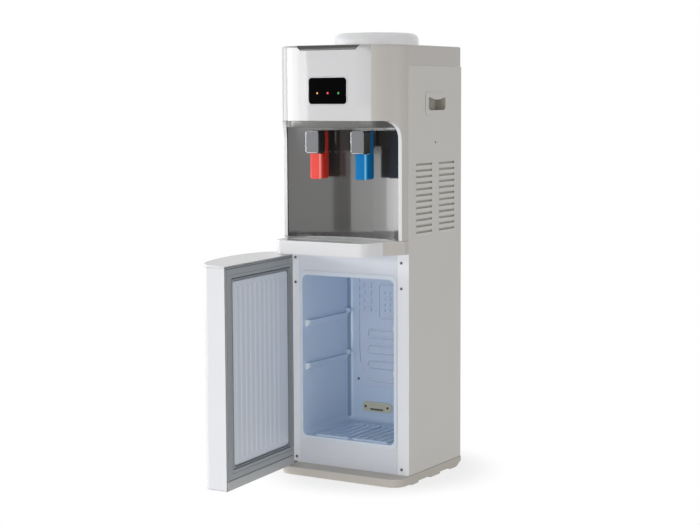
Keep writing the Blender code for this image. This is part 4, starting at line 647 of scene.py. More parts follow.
def make_rail(side, half, top, start, end):
    """A shelf ledge with a sloping underside, a round boss at its back and a catch at its front."""
    wall, tip = side * (half + OVERLAP), side * (half - RAIL_REACH)
    ledge = box("rail", (min(wall, tip), start + MM, top - RAIL_FALL), (max(wall, tip), end, top))
    edit(ledge)
    pick_points(ledge, lambda p: abs(p.x - tip) < MM and p.z < top - MM)
    move(z=RAIL_FALL - RAIL_REACH * RAIL_SLOPE)
    leave_edit()
    soften(ledge, RAIL_EDGE, 3, 30)
    in_share, up_share = BOSS_SHARES
    middle = (side * (half - RAIL_REACH * in_share), end, top + BOSS_RADIUS * up_share)
    boss = rod("boss", middle, BOSS_RADIUS, BOSS_LENGTH, "Y")
    soften(boss, BOSS_EDGE, 3)
    reach, length, fall = CATCH
    inner = side * (half - reach)
    catch = box("catch", (min(wall, inner), start, top - fall), (max(wall, inner), start + length, top + MM))
    bevel(catch, CATCH_SLOPE, 5, lambda a, b: runs(1)(a, b) and abs(a.x - inner) < MM and a.z < top - MM)
    soften(catch, CATCH_EDGE)
    return [ledge, boss, catch]


FLOOR_PADS = ((-0.094, -0.008), (0.002, 0.094))
FLOOR_PAD_DEPTHS = (0.012, 0.165)
FLOOR_PAD_RISE = 3.0 * MM
FLOOR_PAD_CORNER = 5 * MM
FLOOR_PAD_BORDER = 1.8 * MM
FLOOR_PAD_EDGE = 0.6 * MM
FLUTE_COUNT = 4
FLUTE_LEVELS = (1.2 * MM, 4 * MM)
FLUTE_MARGIN = 9 * MM
FLUTE_ROUND = 0.42


def make_floor_pads(floor, front):
    """Two shallow raised pads with long flutes, either side of a groove."""
    near, far = front + FLOOR_PAD_DEPTHS[0], front + FLOOR_PAD_DEPTHS[1]
    pads = []
    for left, right in FLOOR_PADS:
        pad = box("floor_pad", (left, near, floor - OVERLAP), (right, far, floor + FLOOR_PAD_RISE))
        bevel(pad, FLOOR_PAD_CORNER, 4, runs(2))
        inset(pad, faces(2, 1), FLOOR_PAD_BORDER)
        width = (right - left) / (FLUTE_COUNT * 2 + 1)
        for number in range(FLUTE_COUNT):
            start = left + width * (2 * number + 1)
            flute = box("flute", (start, near + FLUTE_MARGIN, floor + FLUTE_LEVELS[0]),
                        (start + width, far - FLUTE_MARGIN, floor + FLUTE_LEVELS[1]))
            bevel(flute, width * FLUTE_ROUND, 4, runs(2))
            cut(pad, flute)
        pads.append(soften(pad, FLOOR_PAD_EDGE, 2, 40))
    return pads


# Evaporator

SHEET_CORNER = 8 * MM
SHEET_BORDER = 3 * MM
SHEET_STEP = 0.5 * MM
SHEET_EDGE = 0.4 * MM
RELIEF_ROOM = 2.8 * MM
EMBOSS = 2.6 * MM
EMBOSS_FLATNESS = 0.8
FEED_EMBOSS = 0.8
RELIEF_ROWS = 4
PAD_COLUMNS = (-0.0815, -0.0615)
PAD_TOP = 0.4085
PAD_PITCH = 0.0185
PAD_SIZE = (0.0135, 0.0125)
PAD_HEIGHT = 1.9 * MM
PAD_CORNER = 3.5 * MM
PAD_EDGE = 0.9 * MM
DIMPLE_COLUMNS = (-0.022, -0.008, 0.006)
DIMPLE_TOP = 0.392
DIMPLE_PITCH = 0.0135
DIMPLE_RADIUS = 3.8 * MM
DIMPLE_LENGTH = 3.4 * MM
DIMPLE_EDGE = 0.8 * MM
LOOP_END = 0.085
LOOP_LEFT = -0.066
LOOP_RIGHT = 0.080
LOOP_ROWS = (0.3045, 0.2862, 0.2685, 0.2505, 0.2325, 0.2150)
LOOP_TURN = 8.5 * MM
PAD_LOOP = ((LOOP_END, 0.412), (-0.0365, 0.412), (-0.0365, 0.333), (LOOP_END, 0.333))
PAD_LOOP_TURN = 9 * MM
FEED = ((-0.0895, 0.432), (-0.0895, 0.250), (-0.086, 0.222), (-0.072, 0.192), (-0.050, 0.184),
        (LOOP_END, 0.184))
FEED_TURN = 14 * MM
PLATE_SCREW = (-0.0915, 0.186)
PLATE_SCREW_RADIUS = 3.0 * MM


def strip(name, points, radius, plane):
    """An embossed channel: a rounded run through points, pressed flat against a plane."""
    curve = bpy.data.curves.new(name, "CURVE")
    curve.dimensions = "3D"
    curve.bevel_depth = radius
    curve.bevel_resolution = 3
    curve.use_fill_caps = True
    run = curve.splines.new("POLY")
    run.points.add(len(points) - 1)
    for point, (x, z) in zip(run.points, points):
        point.co = (x, 0, z, 1)
    piece = add_object(name, curve)
    make_active(piece)
    bpy.ops.object.convert(target="MESH")
    piece.scale = (1, EMBOSS_FLATNESS, 1)
    piece.location = (0, plane, 0)
    apply_place(piece)
    return piece


def rounded_path(corners, radius, steps=5):
    """A path through corners, each turned on an arc."""
    points = [corners[0]]
    for before, corner, after in zip(corners, corners[1:], corners[2:]):
        here = Vector(corner)
        back, ahead = (Vector(before) - here), (Vector(after) - here)
        reach = min(radius, back.length / 2)
        start, end = here + back.normalized() * reach, here + ahead.normalized() * reach
        for step in range(steps + 1):
            t = step / steps
            points.append(tuple(start.lerp(here, t).lerp(here.lerp(end, t), t)))
    return points + [corners[-1]]


def loop_corners():
    """Corners of the channel that winds down the plate."""
    corners = [(LOOP_END, LOOP_ROWS[0])]
    for row, (top, bottom) in enumerate(zip(LOOP_ROWS, LOOP_ROWS[1:])):
        side = LOOP_LEFT if row % 2 == 0 else LOOP_RIGHT
        corners += [(side, top), (side, bottom)]
    return corners + [(LOOP_RIGHT, LOOP_ROWS[-1])]


def make_evaporator():
    """Cold plate at the back: a pressed sheet with pads, dimples and winding channels, with a painted
    highlight on the relief's upper faces and painted shade on its lower ones.
    """
    low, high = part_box("evaporator_plate")
    face = low.y + RELIEF_ROOM
    level = face - SHEET_STEP
    plate = box("cold_plate", (low.x, face, low.z), (high.x, high.y, high.z))
    bevel(plate, SHEET_CORNER, 6, runs(1))
    step_front(plate, SHEET_BORDER, -SHEET_STEP)
    soften(plate, SHEET_EDGE)
    parts = []
    wide, tall = PAD_SIZE
    for x in PAD_COLUMNS:
        for row in range(RELIEF_ROWS):
            z = PAD_TOP - row * PAD_PITCH
            pad = box("pad", (x - wide / 2, level - PAD_HEIGHT, z - tall / 2),
                      (x + wide / 2, level + OVERLAP, z + tall / 2))
            bevel(pad, PAD_CORNER, 4, runs(1))
            parts.append(soften(pad, PAD_EDGE, 3))
    for x in DIMPLE_COLUMNS:
        for row in range(RELIEF_ROWS):
            middle = (x, level, DIMPLE_TOP - row * DIMPLE_PITCH)
            dimple = rod("dimple", middle, DIMPLE_RADIUS, DIMPLE_LENGTH, "Y", 20)
            parts.append(soften(dimple, DIMPLE_EDGE))
    parts.append(strip("pad_loop", rounded_path(PAD_LOOP, PAD_LOOP_TURN), EMBOSS, level))
    parts.append(strip("loops", rounded_path(loop_corners(), LOOP_TURN), EMBOSS, level))
    parts.append(strip("feed", rounded_path(FEED, FEED_TURN), EMBOSS * FEED_EMBOSS, level))
    gather(plate, *parts)
    dress(plate, PLATE_GREY, replaces=["evaporator_plate"], angle=40)
    # Painted highlight on the relief's upper and left faces, and painted shade on its lower and right faces.
    paint(plate, PLATE_HIGHLIGHT, lambda m, n: m.y < level - SLIGHT and n.y < -0.1 and n.z - n.x > 0.3)
    paint(plate, PLATE_SHADE, lambda m, n: m.y < level + SLIGHT and n.z - n.x < -0.35)
    x, z = PLATE_SCREW
    dress(make_screw("plate_screw", (x, level, z), PLATE_SCREW_RADIUS), DARK_SCREW)


# Screws

SCREW_RISE = 1.1 * MM
SCREW_FLAT = 0.3
SCREW_ROUND = 0.55
RIM_SHARE = 0.9
RECESS_HALF_WIDTH = 0.11
RECESS_HALF_LENGTH = 0.5
RECESS_DEPTH = 0.7


def make_screw(name, place, radius, axis="Y", side=-1, rise=SCREW_RISE):
    """A pan head with a cross recess, its head standing out along one axis."""
    index = "XYZ".index(axis)
    middle = Vector(place)
    middle[index] += side * rise / 2
    head = rod(name, middle, radius, rise, axis, 28)
    inset(head, faces(index, side), radius * SCREW_FLAT)
    outer = middle[index] + side * rise / 2
    bevel(head, rise * SCREW_ROUND, 3, lambda a, b: all(
        abs(p[index] - outer) < 0.01 * MM and (p - middle).length > radius * RIM_SHARE for p in (a, b)))
    spot = Vector(middle)
    spot[index] = outer
    for long in (i for i in range(3) if i != index):
        arm = Vector([radius * RECESS_HALF_WIDTH] * 3)
        arm[long] = radius * RECESS_HALF_LENGTH
        arm[index] = rise * RECESS_DEPTH
        cut(head, box("slot", spot - arm, spot + arm))
    return head


REAR_SCREW_SHARES = (0.03, 0.5, 0.97)
REAR_SCREW_MARGIN = 12 * MM
REAR_SCREW_SINK = 0.4 * MM
REAR_SCREW_RADIUS = 3 * MM
REAR_SCREW_RISE = 0.9 * MM


def make_rear_screws():
    """Cross-head screws that hold the rear panel, three down each side."""
    low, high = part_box("rear_panel")
    number = 0
    for side in (-1, 1):
        for share in REAR_SCREW_SHARES:
            number += 1
            place = (side * (high.x - REAR_SCREW_MARGIN), high.y - REAR_SCREW_SINK,
                     low.z + (high.z - low.z) * share)
            screw = make_screw(f"rear_screw_{number}", place, REAR_SCREW_RADIUS, "Y", 1, REAR_SCREW_RISE)
            dress(screw, DARK_SCREW)


FRAME_SCREW_STAND = 1.15 * MM
SHANK_SHARE = 0.55


def make_frame_screws():
    """Cross-head screws round the cupboard's opening, each with its shank."""
    for number in range(1, 7):
        node = f"frame_screw_{number}"
        low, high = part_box(node)
        x, y, z = [(low[i] + high[i]) / 2 for i in range(3)]
        radius = (high.x - low.x) / 2
        head = make_screw(f"{node}_head", (x, low.y + FRAME_SCREW_STAND, z), radius)
        shank = rod("shank", (x, y + MM, z), radius * SHANK_SHARE, high.y - low.y - 2 * MM, "Y", 16)
        gather(head, shank)
        dress(head, DARK_SCREW, replaces=[node])


# Thermostat clip

CLIP_ROUND = 0.98
CLIP_CORNER = 4 * MM
CLIP_BORDER = 2 * MM
CLIP_STEP = 0.8 * MM
CLIP_EDGE = 0.5 * MM
BRIDGE_ENDS = (15 * MM, 20 * MM)
BRIDGE_LEVELS = (3.4 * MM, 5.5 * MM)
BRIDGE_RISE = 0.9 * MM
BRIDGE_CORNER = 3 * MM
BRIDGE_EDGE = 0.8 * MM
MOUTH_ENDS = (19 * MM, 24 * MM)
MOUTH_LEVELS = (3.4 * MM, 3 * MM)
MOUTH_DEPTH = 2.0 * MM
MOUTH_CORNER = 1.4 * MM
CLIP_SCREW_RADIUS = 3 * MM
CLIP_SCREW_ENDS = (6.5 * MM, 12 * MM)


def make_clip():
    """Beige sensor cover with a round end, a long slot and two screws."""
    low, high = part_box("thermostat_clip")
    front = low.y + MM
    middle = (low.z + high.z) / 2
    clip = box("sensor_cover", (low.x, front, low.z), (high.x, high.y, high.z))
    half = (high.z - low.z) / 2
    bevel(clip, half * CLIP_ROUND, 10, lambda a, b: runs(1)(a, b) and a.x > 0.5 * (low.x + high.x))
    bevel(clip, CLIP_CORNER, 5, lambda a, b: runs(1)(a, b) and a.x < low.x + MM)
    step_front(clip, CLIP_BORDER, CLIP_STEP)
    soften(clip, CLIP_EDGE)
    bridge = box("bridge", (low.x + BRIDGE_ENDS[0], front - BRIDGE_RISE, middle - BRIDGE_LEVELS[0]),
                 (high.x - BRIDGE_ENDS[1], front + 2 * MM, middle + BRIDGE_LEVELS[1]))
    bevel(bridge, BRIDGE_CORNER, 4, runs(1))
    soften(bridge, BRIDGE_EDGE)
    mouth = box("mouth", (low.x + MOUTH_ENDS[0], front - 3 * MM, low.z + MOUTH_LEVELS[0]),
                (high.x - MOUTH_ENDS[1], front + MOUTH_DEPTH, middle - MOUTH_LEVELS[1]))
    bevel(mouth, MOUTH_CORNER, 3, runs(1))
    cut(clip, mouth)
    gather(clip, bridge)
    dress(clip, BEIGE, replaces=["thermostat_clip"])

    def in_mouth(m, n):
        across = low.x + MOUTH_ENDS[0] - MM < m.x < high.x - MOUTH_ENDS[1] + MM
        return across and low.z + 3 * MM < m.z < middle - MOUTH_LEVELS[1] and m.y > front + 1.2 * MM

    # Painted shade on the floor of the slot.
    paint(clip, CLIP_MOUTH_SHADE, in_mouth)
    for number, x in enumerate((low.x + CLIP_SCREW_ENDS[0], high.x - CLIP_SCREW_ENDS[1]), 1):
        screw = make_screw(f"clip_screw_{number}", (x, front + CLIP_STEP, middle), CLIP_SCREW_RADIUS)
        dress(screw, DARK_SCREW)


# Door, modelled closed and then swung open

HINGE = next(joint for joint in frame["joints"] if joint["name"] == "door_hinge")
HINGE_MIDDLE = Vector((HINGE["pos_m"][0], HINGE["pos_m"][1], 0))
OPEN_TURN = Matrix.Rotation(-math.radians(HINGE["range_deg"][1]), 4, "Z")


def swing_open(piece):
    """Turn a piece that was modelled on the closed door to the place of the open one."""
    piece.matrix_world = Matrix.Translation(HINGE_MIDDLE) @ OPEN_TURN @ Matrix.Translation(-HINGE_MIDDLE)
    apply_place(piece)
    return piece


def shut(point):
    """Place of a point of the open door once the door is shut."""
    return OPEN_TURN.inverted() @ (Vector(point) - HINGE_MIDDLE) + HINGE_MIDDLE


def faces_cupboard(normal):
    """Whether a face of the open door looks into the cupboard once the door is shut."""
    return (OPEN_TURN.inverted() @ normal).y > 0.9


def closed_range(node):
    """Lowest and highest corner of a door node with the door shut."""
    points = [shut(v.co) for v in frame["nodes"][node].data.vertices]
    low = Vector([min(p[i] for p in points) for i in range(3)])
    high = Vector([max(p[i] for p in points) for i in range(3)])
    return low, high


SEAL_HOLE = (-0.122, 0.1255)
SEAL_BORDER = 26.5 * MM
SEAL_CORNER = 7 * MM
SEAL_HOLE_CORNER = 8 * MM
SEAL_EDGE = 0.5 * MM
SEAL_DARK_DEPTH = 1.2 * MM
# For each groove, how far it lies outside the hole, its width and its depth
SEAL_GROOVES = (
    (4.0 * MM, 3.0 * MM, 1.8 * MM),
    (11.5 * MM, 1.6 * MM, 1.0 * MM),
    (24.5 * MM, 1.5 * MM, 1.6 * MM),
)
PANEL_MARGIN = 3.5 * MM
PANEL_ROOM = 0.8 * MM
PANEL_STEP = 7.5 * MM
PANEL_BORDER = 5 * MM
PANEL_CORNER = 9 * MM
PANEL_EDGE = 3.2 * MM
RIB_COUNT = 10
RIB_HALF = 6.2 * MM
RIB_RISE = 0.7 * MM
RIB_SPAN = (-0.079, 0.105)
RIB_ENDS = (0.090, 0.450)
RIB_END_BORDER = 0.25 * MM
RIB_TAPER = 4 * MM
RIB_TIP = (0.4, 0.1, 1)


def seal_hole():
    """Opening of the seal on the closed door: its lower and upper corner along X and Z."""
    low, high = closed_range("door_gasket")
    return (SEAL_HOLE[0], low.z + SEAL_BORDER), (SEAL_HOLE[1], high.z - SEAL_BORDER)


def make_rib(x, level):
    """A low upright rib with tapered ends."""
    bottom, top = RIB_ENDS
    rib = rod("rib", (x, level, (bottom + top) / 2), RIB_HALF, top - bottom, "Z", 24)
    edit(rib)
    bpy.ops.mesh.select_all(action="SELECT")
    bpy.ops.transform.resize(value=(1, RIB_RISE / RIB_HALF, 1), center_override=(x, level, 0))
    for end in (-1, 1):
        pick_faces(rib, faces(2, end))
        bpy.ops.mesh.inset(thickness=RIB_END_BORDER, depth=0)
        extrude(z=end * RIB_TAPER)
        bpy.ops.transform.resize(value=RIB_TIP, center_override=(x, level, 0))
    leave_edit()
    return rib


def make_door_panel():
    """Inner door panel: a flange under the seal and a raised, softly ribbed middle."""
    low, high = closed_range("door_liner")
    level = high.y - PANEL_ROOM
    flange = level - PANEL_STEP
    panel = box("door_inner_panel", low, (high.x, flange, high.z))
    inset(panel, faces(1, 1), PANEL_BORDER)
    (left, bottom), (right, top) = seal_hole()
    raised = box("raised", (left + PANEL_MARGIN, flange - MM, bottom + PANEL_MARGIN),
                 (right - PANEL_MARGIN, level, top - PANEL_MARGIN))
    bevel(raised, PANEL_CORNER, 6, runs(1))
    bevel(raised, PANEL_EDGE, 4, at(1, level))
    pitch = (RIB_SPAN[1] - RIB_SPAN[0]) / (RIB_COUNT - 1)
    ribs = [make_rib(RIB_SPAN[0] + pitch * number, level) for number in range(RIB_COUNT)]
    gather(panel, raised, *ribs)
    swing_open(panel)
    dress(panel, LINER_WHITE, "door", ["door_liner"], 50)


def make_door_seal():
    """Magnetic seal: a frame with a broad band between grooves that run all round it."""
    low, high = closed_range("door_gasket")
    (left, bottom), (right, top) = seal_hole()
    seal = box("door_seal", low, high)
    bevel(seal, SEAL_CORNER, 5, runs(1))
    hole = box("hole", (left, low.y - MM, bottom), (right, high.y + MM, top))
    bevel(hole, SEAL_HOLE_CORNER, 5, runs(1))
    cut(seal, hole)
    for outset, width, depth in SEAL_GROOVES:
        ring = box("groove", (left - outset, high.y - depth, bottom - outset),
                   (right + outset, high.y + 2 * MM, top + outset))
        core = box("core", (left - outset + width, high.y - 2 * depth, bottom - outset + width),
                   (right + outset - width, high.y + 3 * MM, top + outset - width))
        cut(ring, core)
        cut(seal, ring)
    soften(seal, SEAL_EDGE, 3, 40)
    swing_open(seal)
    dress(seal, SEAL, "door", ["door_gasket"], 40)
    # Painted shade on the floors of the seal's grooves.
    paint(seal, SEAL_GROOVE_SHADE, lambda m, n: faces_cupboard(n) and shut(m).y < high.y - SEAL_DARK_DEPTH)


# Taps

TAP_CORNER = 4 * MM
CAP_EDGE = 1.2 * MM
CAP_RIM = 2 * MM
CAP_HOLLOW = 1.5 * MM
TAP_PLATE_EDGE = 0.9 * MM
TAP_PLATE_RIM = 0.4 * MM
TAP_PLATE_HOLLOW = 0.25 * MM
HIGHLIGHT_WIDTH = 1.2 * MM
LEVER_EDGE = 1.0 * MM
LEVER_FINISH = {"hot": (RED, RED_HIGHLIGHT, "hot_red"), "cold": (BLUE, BLUE_HIGHLIGHT, "cold_blue")}


def make_tap(kind):
    """Cap with a satin face plate whose left, upper and lower border carries a painted highlight, and the
    lever below it with a painted highlight on its rounded corner.
    """
    low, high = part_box(f"{kind}_tap_cap")
    cap = box(f"{kind}_cap", low, high)
    bevel(cap, TAP_CORNER, 5, runs(1))
    bevel(cap, CAP_EDGE, 3, at(1, low.y))
    inset(cap, faces(2, -1), CAP_RIM, -CAP_HOLLOW)
    dress(cap, CAP_GREY, replaces=[f"{kind}_tap_cap"])

    low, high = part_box(f"{kind}_tap_face")
    plate = box(f"{kind}_face_plate", low, high)
    bevel(plate, TAP_CORNER, 6, runs(1))
    bevel(plate, TAP_PLATE_EDGE, 4, at(1, low.y))
    inset(plate, faces(1, -1), TAP_PLATE_RIM, -TAP_PLATE_HOLLOW)
    dress(plate, CHROME, replaces=[f"{kind}_tap_face"], angle=25)
    middle = (low + high) / 2
    reach = (high - low) / 2 - Vector((HIGHLIGHT_WIDTH, 0, HIGHLIGHT_WIDTH))

    def on_lit_border(m, n):
        """The left, upper and lower border, which face the front: a painted highlight where the bevel
        catches the light.
        """
        beside = m.x < middle.x - reach.x or abs(m.z - middle.z) > reach.z
        return n.y < -0.02 and n.x < 0.3 and m.x < middle.x + reach.x and beside

    paint(plate, PLATE_EDGE_HIGHLIGHT, on_lit_border)

    node = f"{kind}_tap_lever"
    colour, corner_highlight, slot = LEVER_FINISH[kind]
    lever = copy_node(node, f"{kind}_lever")
    soften(lever, LEVER_EDGE, 3, 40)
    dress(lever, colour, frame["nodes"][node]["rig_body"], [node])
    # Painted highlight on the lever's rounded front corner.
    paint(lever, corner_highlight, lambda m, n: 0.1 < n.x < 0.7 and n.y < -0.6 and abs(n.z) < 0.3)


# Louvres

SHEET = 1.0 * MM
LOUVRE_ROWS = 12
LOUVRE_TOP = 0.698
LOUVRE_PITCH = 13.35 * MM
LOUVRE_SLOT = 4.2 * MM
LOUVRE_LENGTH = 71.5 * MM
LOUVRE_STARTS = (31.5 * MM, 135.5 * MM)
LIP_HEIGHT = 6.4 * MM
LIP_RISE = 1.35 * MM
LIP_ROOT = 0.6 * MM
LIP_END_SLOPE = 3 * MM
LIP_EDGE = 0.5 * MM
BACKING_GAP = 1.3 * MM
BACKING_THICKNESS = 0.6 * MM
BACKING_MARGINS = (2 * MM, 4 * MM)
BACKING_CORNER = 3 * MM
BACKING_RIM = 1.5 * MM
BACKING_HOLLOW = 0.2 * MM
SIDE_SCREW = (-0.001, 0.744)
SIDE_SCREW_RADIUS = 2.2 * MM
SIDE_SCREW_RISE = 0.8 * MM


def make_lip(wall, start, level):
    """A wedge that stands out at the slot's lower edge and runs back into the panel below it."""
    top = level - LOUVRE_SLOT / 2
    end = start + LOUVRE_LENGTH
    lip = box("lip", (wall - LIP_ROOT, start, top - LIP_HEIGHT), (wall + LIP_RISE, end, top))
    edit(lip)
    pick_points(lip, lambda p: p.x > wall and p.z < top - MM)
    move(x=-LIP_RISE - SLIGHT)
    pick_points(lip, lambda p: p.x > wall and p.y < start + MM)
    move(y=LIP_END_SLOPE)
    pick_points(lip, lambda p: p.x > wall and p.y > end - MM)
    move(y=-LIP_END_SLOPE)
    pick_edges(lip, lambda a, b: runs(1)(a, b) and a.x > wall)
    bpy.ops.mesh.bevel(offset=LIP_EDGE, segments=2, affect="EDGES")
    leave_edit()
    return lip


def make_backing(wall, start):
    """Folded sheet in a darker enamel behind one column of slots, which keeps the inside out of sight:
    painted shade seen through the slots.
    """
    along, up = BACKING_MARGINS
    bottom = LOUVRE_TOP - (LOUVRE_ROWS - 1) * LOUVRE_PITCH
    sheet = box("backing", (wall - BACKING_THICKNESS, start - along, bottom - up),
                (wall, start + LOUVRE_LENGTH + along, LOUVRE_TOP + up))
    inset(sheet, faces(0, 1), BACKING_RIM, -BACKING_HOLLOW)
    return bevel(sheet, BACKING_CORNER, 4, runs(0))


def dress_pair(right, name, material):
    """Dress a piece of the right panel and its mirror image on the left one."""
    right.name = f"{name}_right"
    for piece in (right, mirror_piece(right, f"{name}_left")):
        dress(piece, material)


def make_louvres():
    """Pressed lips below the slots of the side panels, sheets of painted shade behind them and a small screw
    above.
    """
    low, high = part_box("side_panel_right")
    lips = [make_lip(high.x, low.y + start, LOUVRE_TOP - row * LOUVRE_PITCH)
            for start in LOUVRE_STARTS for row in range(LOUVRE_ROWS)]
    dress_pair(gather(*lips), "louvre_lips", ENAMEL)
    sheets = [make_backing(high.x - SHEET - BACKING_GAP, low.y + start) for start in LOUVRE_STARTS]
    dress_pair(gather(*sheets), "louvre_backing", SHADED_ENAMEL)
    y, z = SIDE_SCREW
    screw = make_screw("side_screw_right", (high.x, y, z), SIDE_SCREW_RADIUS, "X", 1, SIDE_SCREW_RISE)
    dress_pair(screw, "side_screw", DARK_SCREW)


# Display

LAMPS = (("amber", -0.0267, AMBER_LAMP), ("red", 0.0, RED_LAMP), ("green", 0.0267, GREEN_LAMP))
LAMP_HEIGHT = 0.852
LAMP_RADIUS = 2.0 * MM
LAMP_LENGTH = 1.6 * MM
LAMP_ROOM = 0.1 * MM
LAMP_EDGE = 0.7 * MM
AMBER_RIM = 0.5 * MM
AMBER_HOLLOW = 0.4 * MM
STRIP_SETBACK = 1.2 * MM


def make_display():
    """Smoked window and, behind its holes, three coloured lamps on their strip."""
    dress(copy_node("display_lens", "display_window"), SMOKED, replaces=["display_lens"])
    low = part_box("indicator_block")[0]
    lamp_strip = copy_node("indicator_block", "lamp_strip")
    edit(lamp_strip)
    pick_points(lamp_strip, lambda p: p.y < low.y + MM)
    move(y=STRIP_SETBACK)
    leave_edit()
    dress(lamp_strip, BLACK, replaces=["indicator_block"])
    for name, x, material in LAMPS:
        middle = (x, low.y + LAMP_ROOM + LAMP_LENGTH / 2, LAMP_HEIGHT)
        lamp = rod(f"{name}_lamp", middle, LAMP_RADIUS, LAMP_LENGTH, "Y", 24)
        bevel(lamp, LAMP_EDGE, 3, at(1, low.y + LAMP_ROOM))
        if name == "amber":
            inset(lamp, faces(1, -1), AMBER_RIM, -AMBER_HOLLOW)
        dress(lamp, material)


# Bottle collar and carrying handles

COLLAR_EDGE = 0.5 * MM


def make_collar():
    """Clear ring with a rounded shoulder that the bottle stands in."""
    collar = copy_node("bottle_collar", "bottle_ring")
    soften(collar, COLLAR_EDGE, 3, 40)
    dress(collar, FROSTED_GLOW, replaces=["bottle_collar"])


GRIP_RANGE = (0.834, 0.842)
GRIP_MIDDLE = 0.0043
GRIP_HALF = 24 * MM
GRIP_SHARE = 0.6
HANDLE_EDGE = 0.7 * MM
HANDLE_FRAME = 2.2 * MM


def in_grip(p):
    """Whether a point lies on the dip in a handle's lower edge, below its top."""
    low, top = [level - SLIGHT for level in GRIP_RANGE]
    return low < p.z < top and abs(p.y - GRIP_MIDDLE) < GRIP_HALF


def make_handle_cups():
    """Recessed carrying handles, with painted shade inside and on downward faces and a painted highlight on
    their frame's upward faces.
    """
    for side in ("left", "right"):
        node = f"handle_cup_{side}"
        low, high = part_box(node)
        depth = max(abs(low.x), abs(high.x)) - HANDLE_FRAME
        cup = copy_node(node, f"handle_{side}")
        edit(cup)
        pick_points(cup, in_grip)
        bpy.ops.transform.resize(value=(1, 1, GRIP_SHARE), center_override=(0, 0, GRIP_RANGE[1]))
        leave_edit()
        soften(cup, HANDLE_EDGE, 3)
        dress(cup, ENAMEL, replaces=[node])
        # Painted highlight on the frame's upward faces.
        paint(cup, LIT_ENAMEL, lambda m, n: abs(m.x) > depth and n.z > 0.35)
        # Painted shade inside the cup and on its downward faces.
        paint(cup, SHADED_ENAMEL, lambda m, n: abs(m.x) < depth or n.z < -0.5)


make_collar()
make_handle_cups()
make_cupboard_liner()
make_evaporator()
make_frame_screws()
make_rear_screws()
make_clip()
make_door_panel()
make_door_seal()
make_tap("hot")
make_tap("cold")
make_louvres()
make_display()


# Solids whose own shape is kept, with softened edges

EDGE = 0.4 * MM
UNSOFTENED = {"alcove_liner"}
RECAST = [
    "base", "side_panel_left", "side_panel_right", "front_frame", "head_fascia", "top_trim", "alcove_liner",
    "tap_panel", "drip_shelf", "drip_cup", "drip_grille", "hot_tap_body", "cold_tap_body", "door_shell",
    "door_top_cap", "door_bottom_cap", "top_cover", "bottle_probe", "power_inlet", "drain_cap", "hinge_top",
    "hinge_bottom", "hot_switch", "cold_switch",
]
SHELF_WAIST = 0.1245
CHEEK_TOP = 0.79

skins = {node: recast(node, 0 if node in UNSOFTENED else EDGE) for node in RECAST}
# Painted shade: the door's faces toward the cupboard in a darker white.
for node in ("door_shell", "door_top_cap", "door_bottom_cap"):
    paint(skins[node], DOOR_INSIDE_SHADE, lambda m, n: faces_cupboard(n))
# Painted shade: the head's side faces in the warmer side white.
paint(skins["head_fascia"], SIDE_SHADE_WHITE, lambda m, n: n.x > 0.3 or n.x < -0.95)
# Painted highlight: the cheek fronts below the head in the lighter tray white, where their rounded edge
# catches the light.
paint(skins["head_fascia"], TRAY_WHITE_AND_CHEEK_HIGHLIGHT, lambda m, n: m.z < CHEEK_TOP and n.y < -0.4)
# Painted shade: the tray's right-facing end in the warmer side white.
paint(skins["drip_shelf"], SIDE_SHADE_WHITE, lambda m, n: n.x > 0.5 and m.x > SHELF_WAIST)
# Painted sheen: the side panels' front-facing flanges in the lighter enamel.
for node in ("side_panel_left", "side_panel_right"):
    paint(skins[node], LIT_ENAMEL, lambda m, n: n.y < -0.9)

for node, piece in frame["nodes"].items():
    if node not in dressed:
        piece.data.materials.clear()
        piece.data.materials.append(SLOT_FINISH[slots[node]])


# Floor, world, lights and camera

FLOOR_SIZE = 12
FLOOR_PLACE = (0, 2, 0)
FLOOR_COLOUR = (0.86, 0.86, 0.86, 1)
FLOOR_BOUNCE = 0.42
SHADOW_REACH = (0.18, 0.31)
SHADOW_FLOOR = 0.76
AMBIENT = 0.24
PURE_WHITE = (1, 1, 1, 1)


def largest(tree, value, *others):
    """The largest of several outputs or plain numbers."""
    for other in others:
        value = math_node(tree, "MAXIMUM", value, other)
    return value


def add_floor():
    """Pale floor that keeps the shadow near the cabinet and fades to white further out."""
    deselect()
    bpy.ops.mesh.primitive_plane_add(size=FLOOR_SIZE, location=FLOOR_PLACE)
    floor = just_added("floor")
    material = bpy.data.materials.new("studio_floor")
    material.use_nodes = True
    tree = material.node_tree
    tree.nodes.clear()
    output = tree.nodes.new("ShaderNodeOutputMaterial")
    diffuse = tree.nodes.new("ShaderNodeBsdfDiffuse")
    set_inputs(diffuse, Color=FLOOR_COLOUR)
    glow = tree.nodes.new("ShaderNodeEmission")
    set_inputs(glow, Color=PURE_WHITE)
    distance = tree.nodes.new("ShaderNodeVectorMath")
    distance.operation = "LENGTH"
    tree.links.new(own_place(tree), distance.inputs[0])
    fade = tree.nodes.new("ShaderNodeMapRange")
    fade.interpolation_type = "SMOOTHSTEP"
    set_inputs(fade, From_Min=SHADOW_REACH[0], From_Max=SHADOW_REACH[1], To_Min=SHADOW_FLOOR)
    tree.links.new(distance.outputs["Value"], fade.inputs["Value"])
    rays = tree.nodes.new("ShaderNodeLightPath").outputs
    seen = largest(tree, rays["Is Camera Ray"], rays["Is Glossy Ray"], FLOOR_BOUNCE)
    mix = tree.nodes.new("ShaderNodeMixShader")
    tree.links.new(math_node(tree, "MULTIPLY", fade.outputs["Result"], seen), mix.inputs["Fac"])
    tree.links.new(diffuse.outputs[0], mix.inputs[1])
    tree.links.new(glow.outputs[0], mix.inputs[2])
    tree.links.new(mix.outputs[0], output.inputs["Surface"])
    floor.data.materials.append(material)


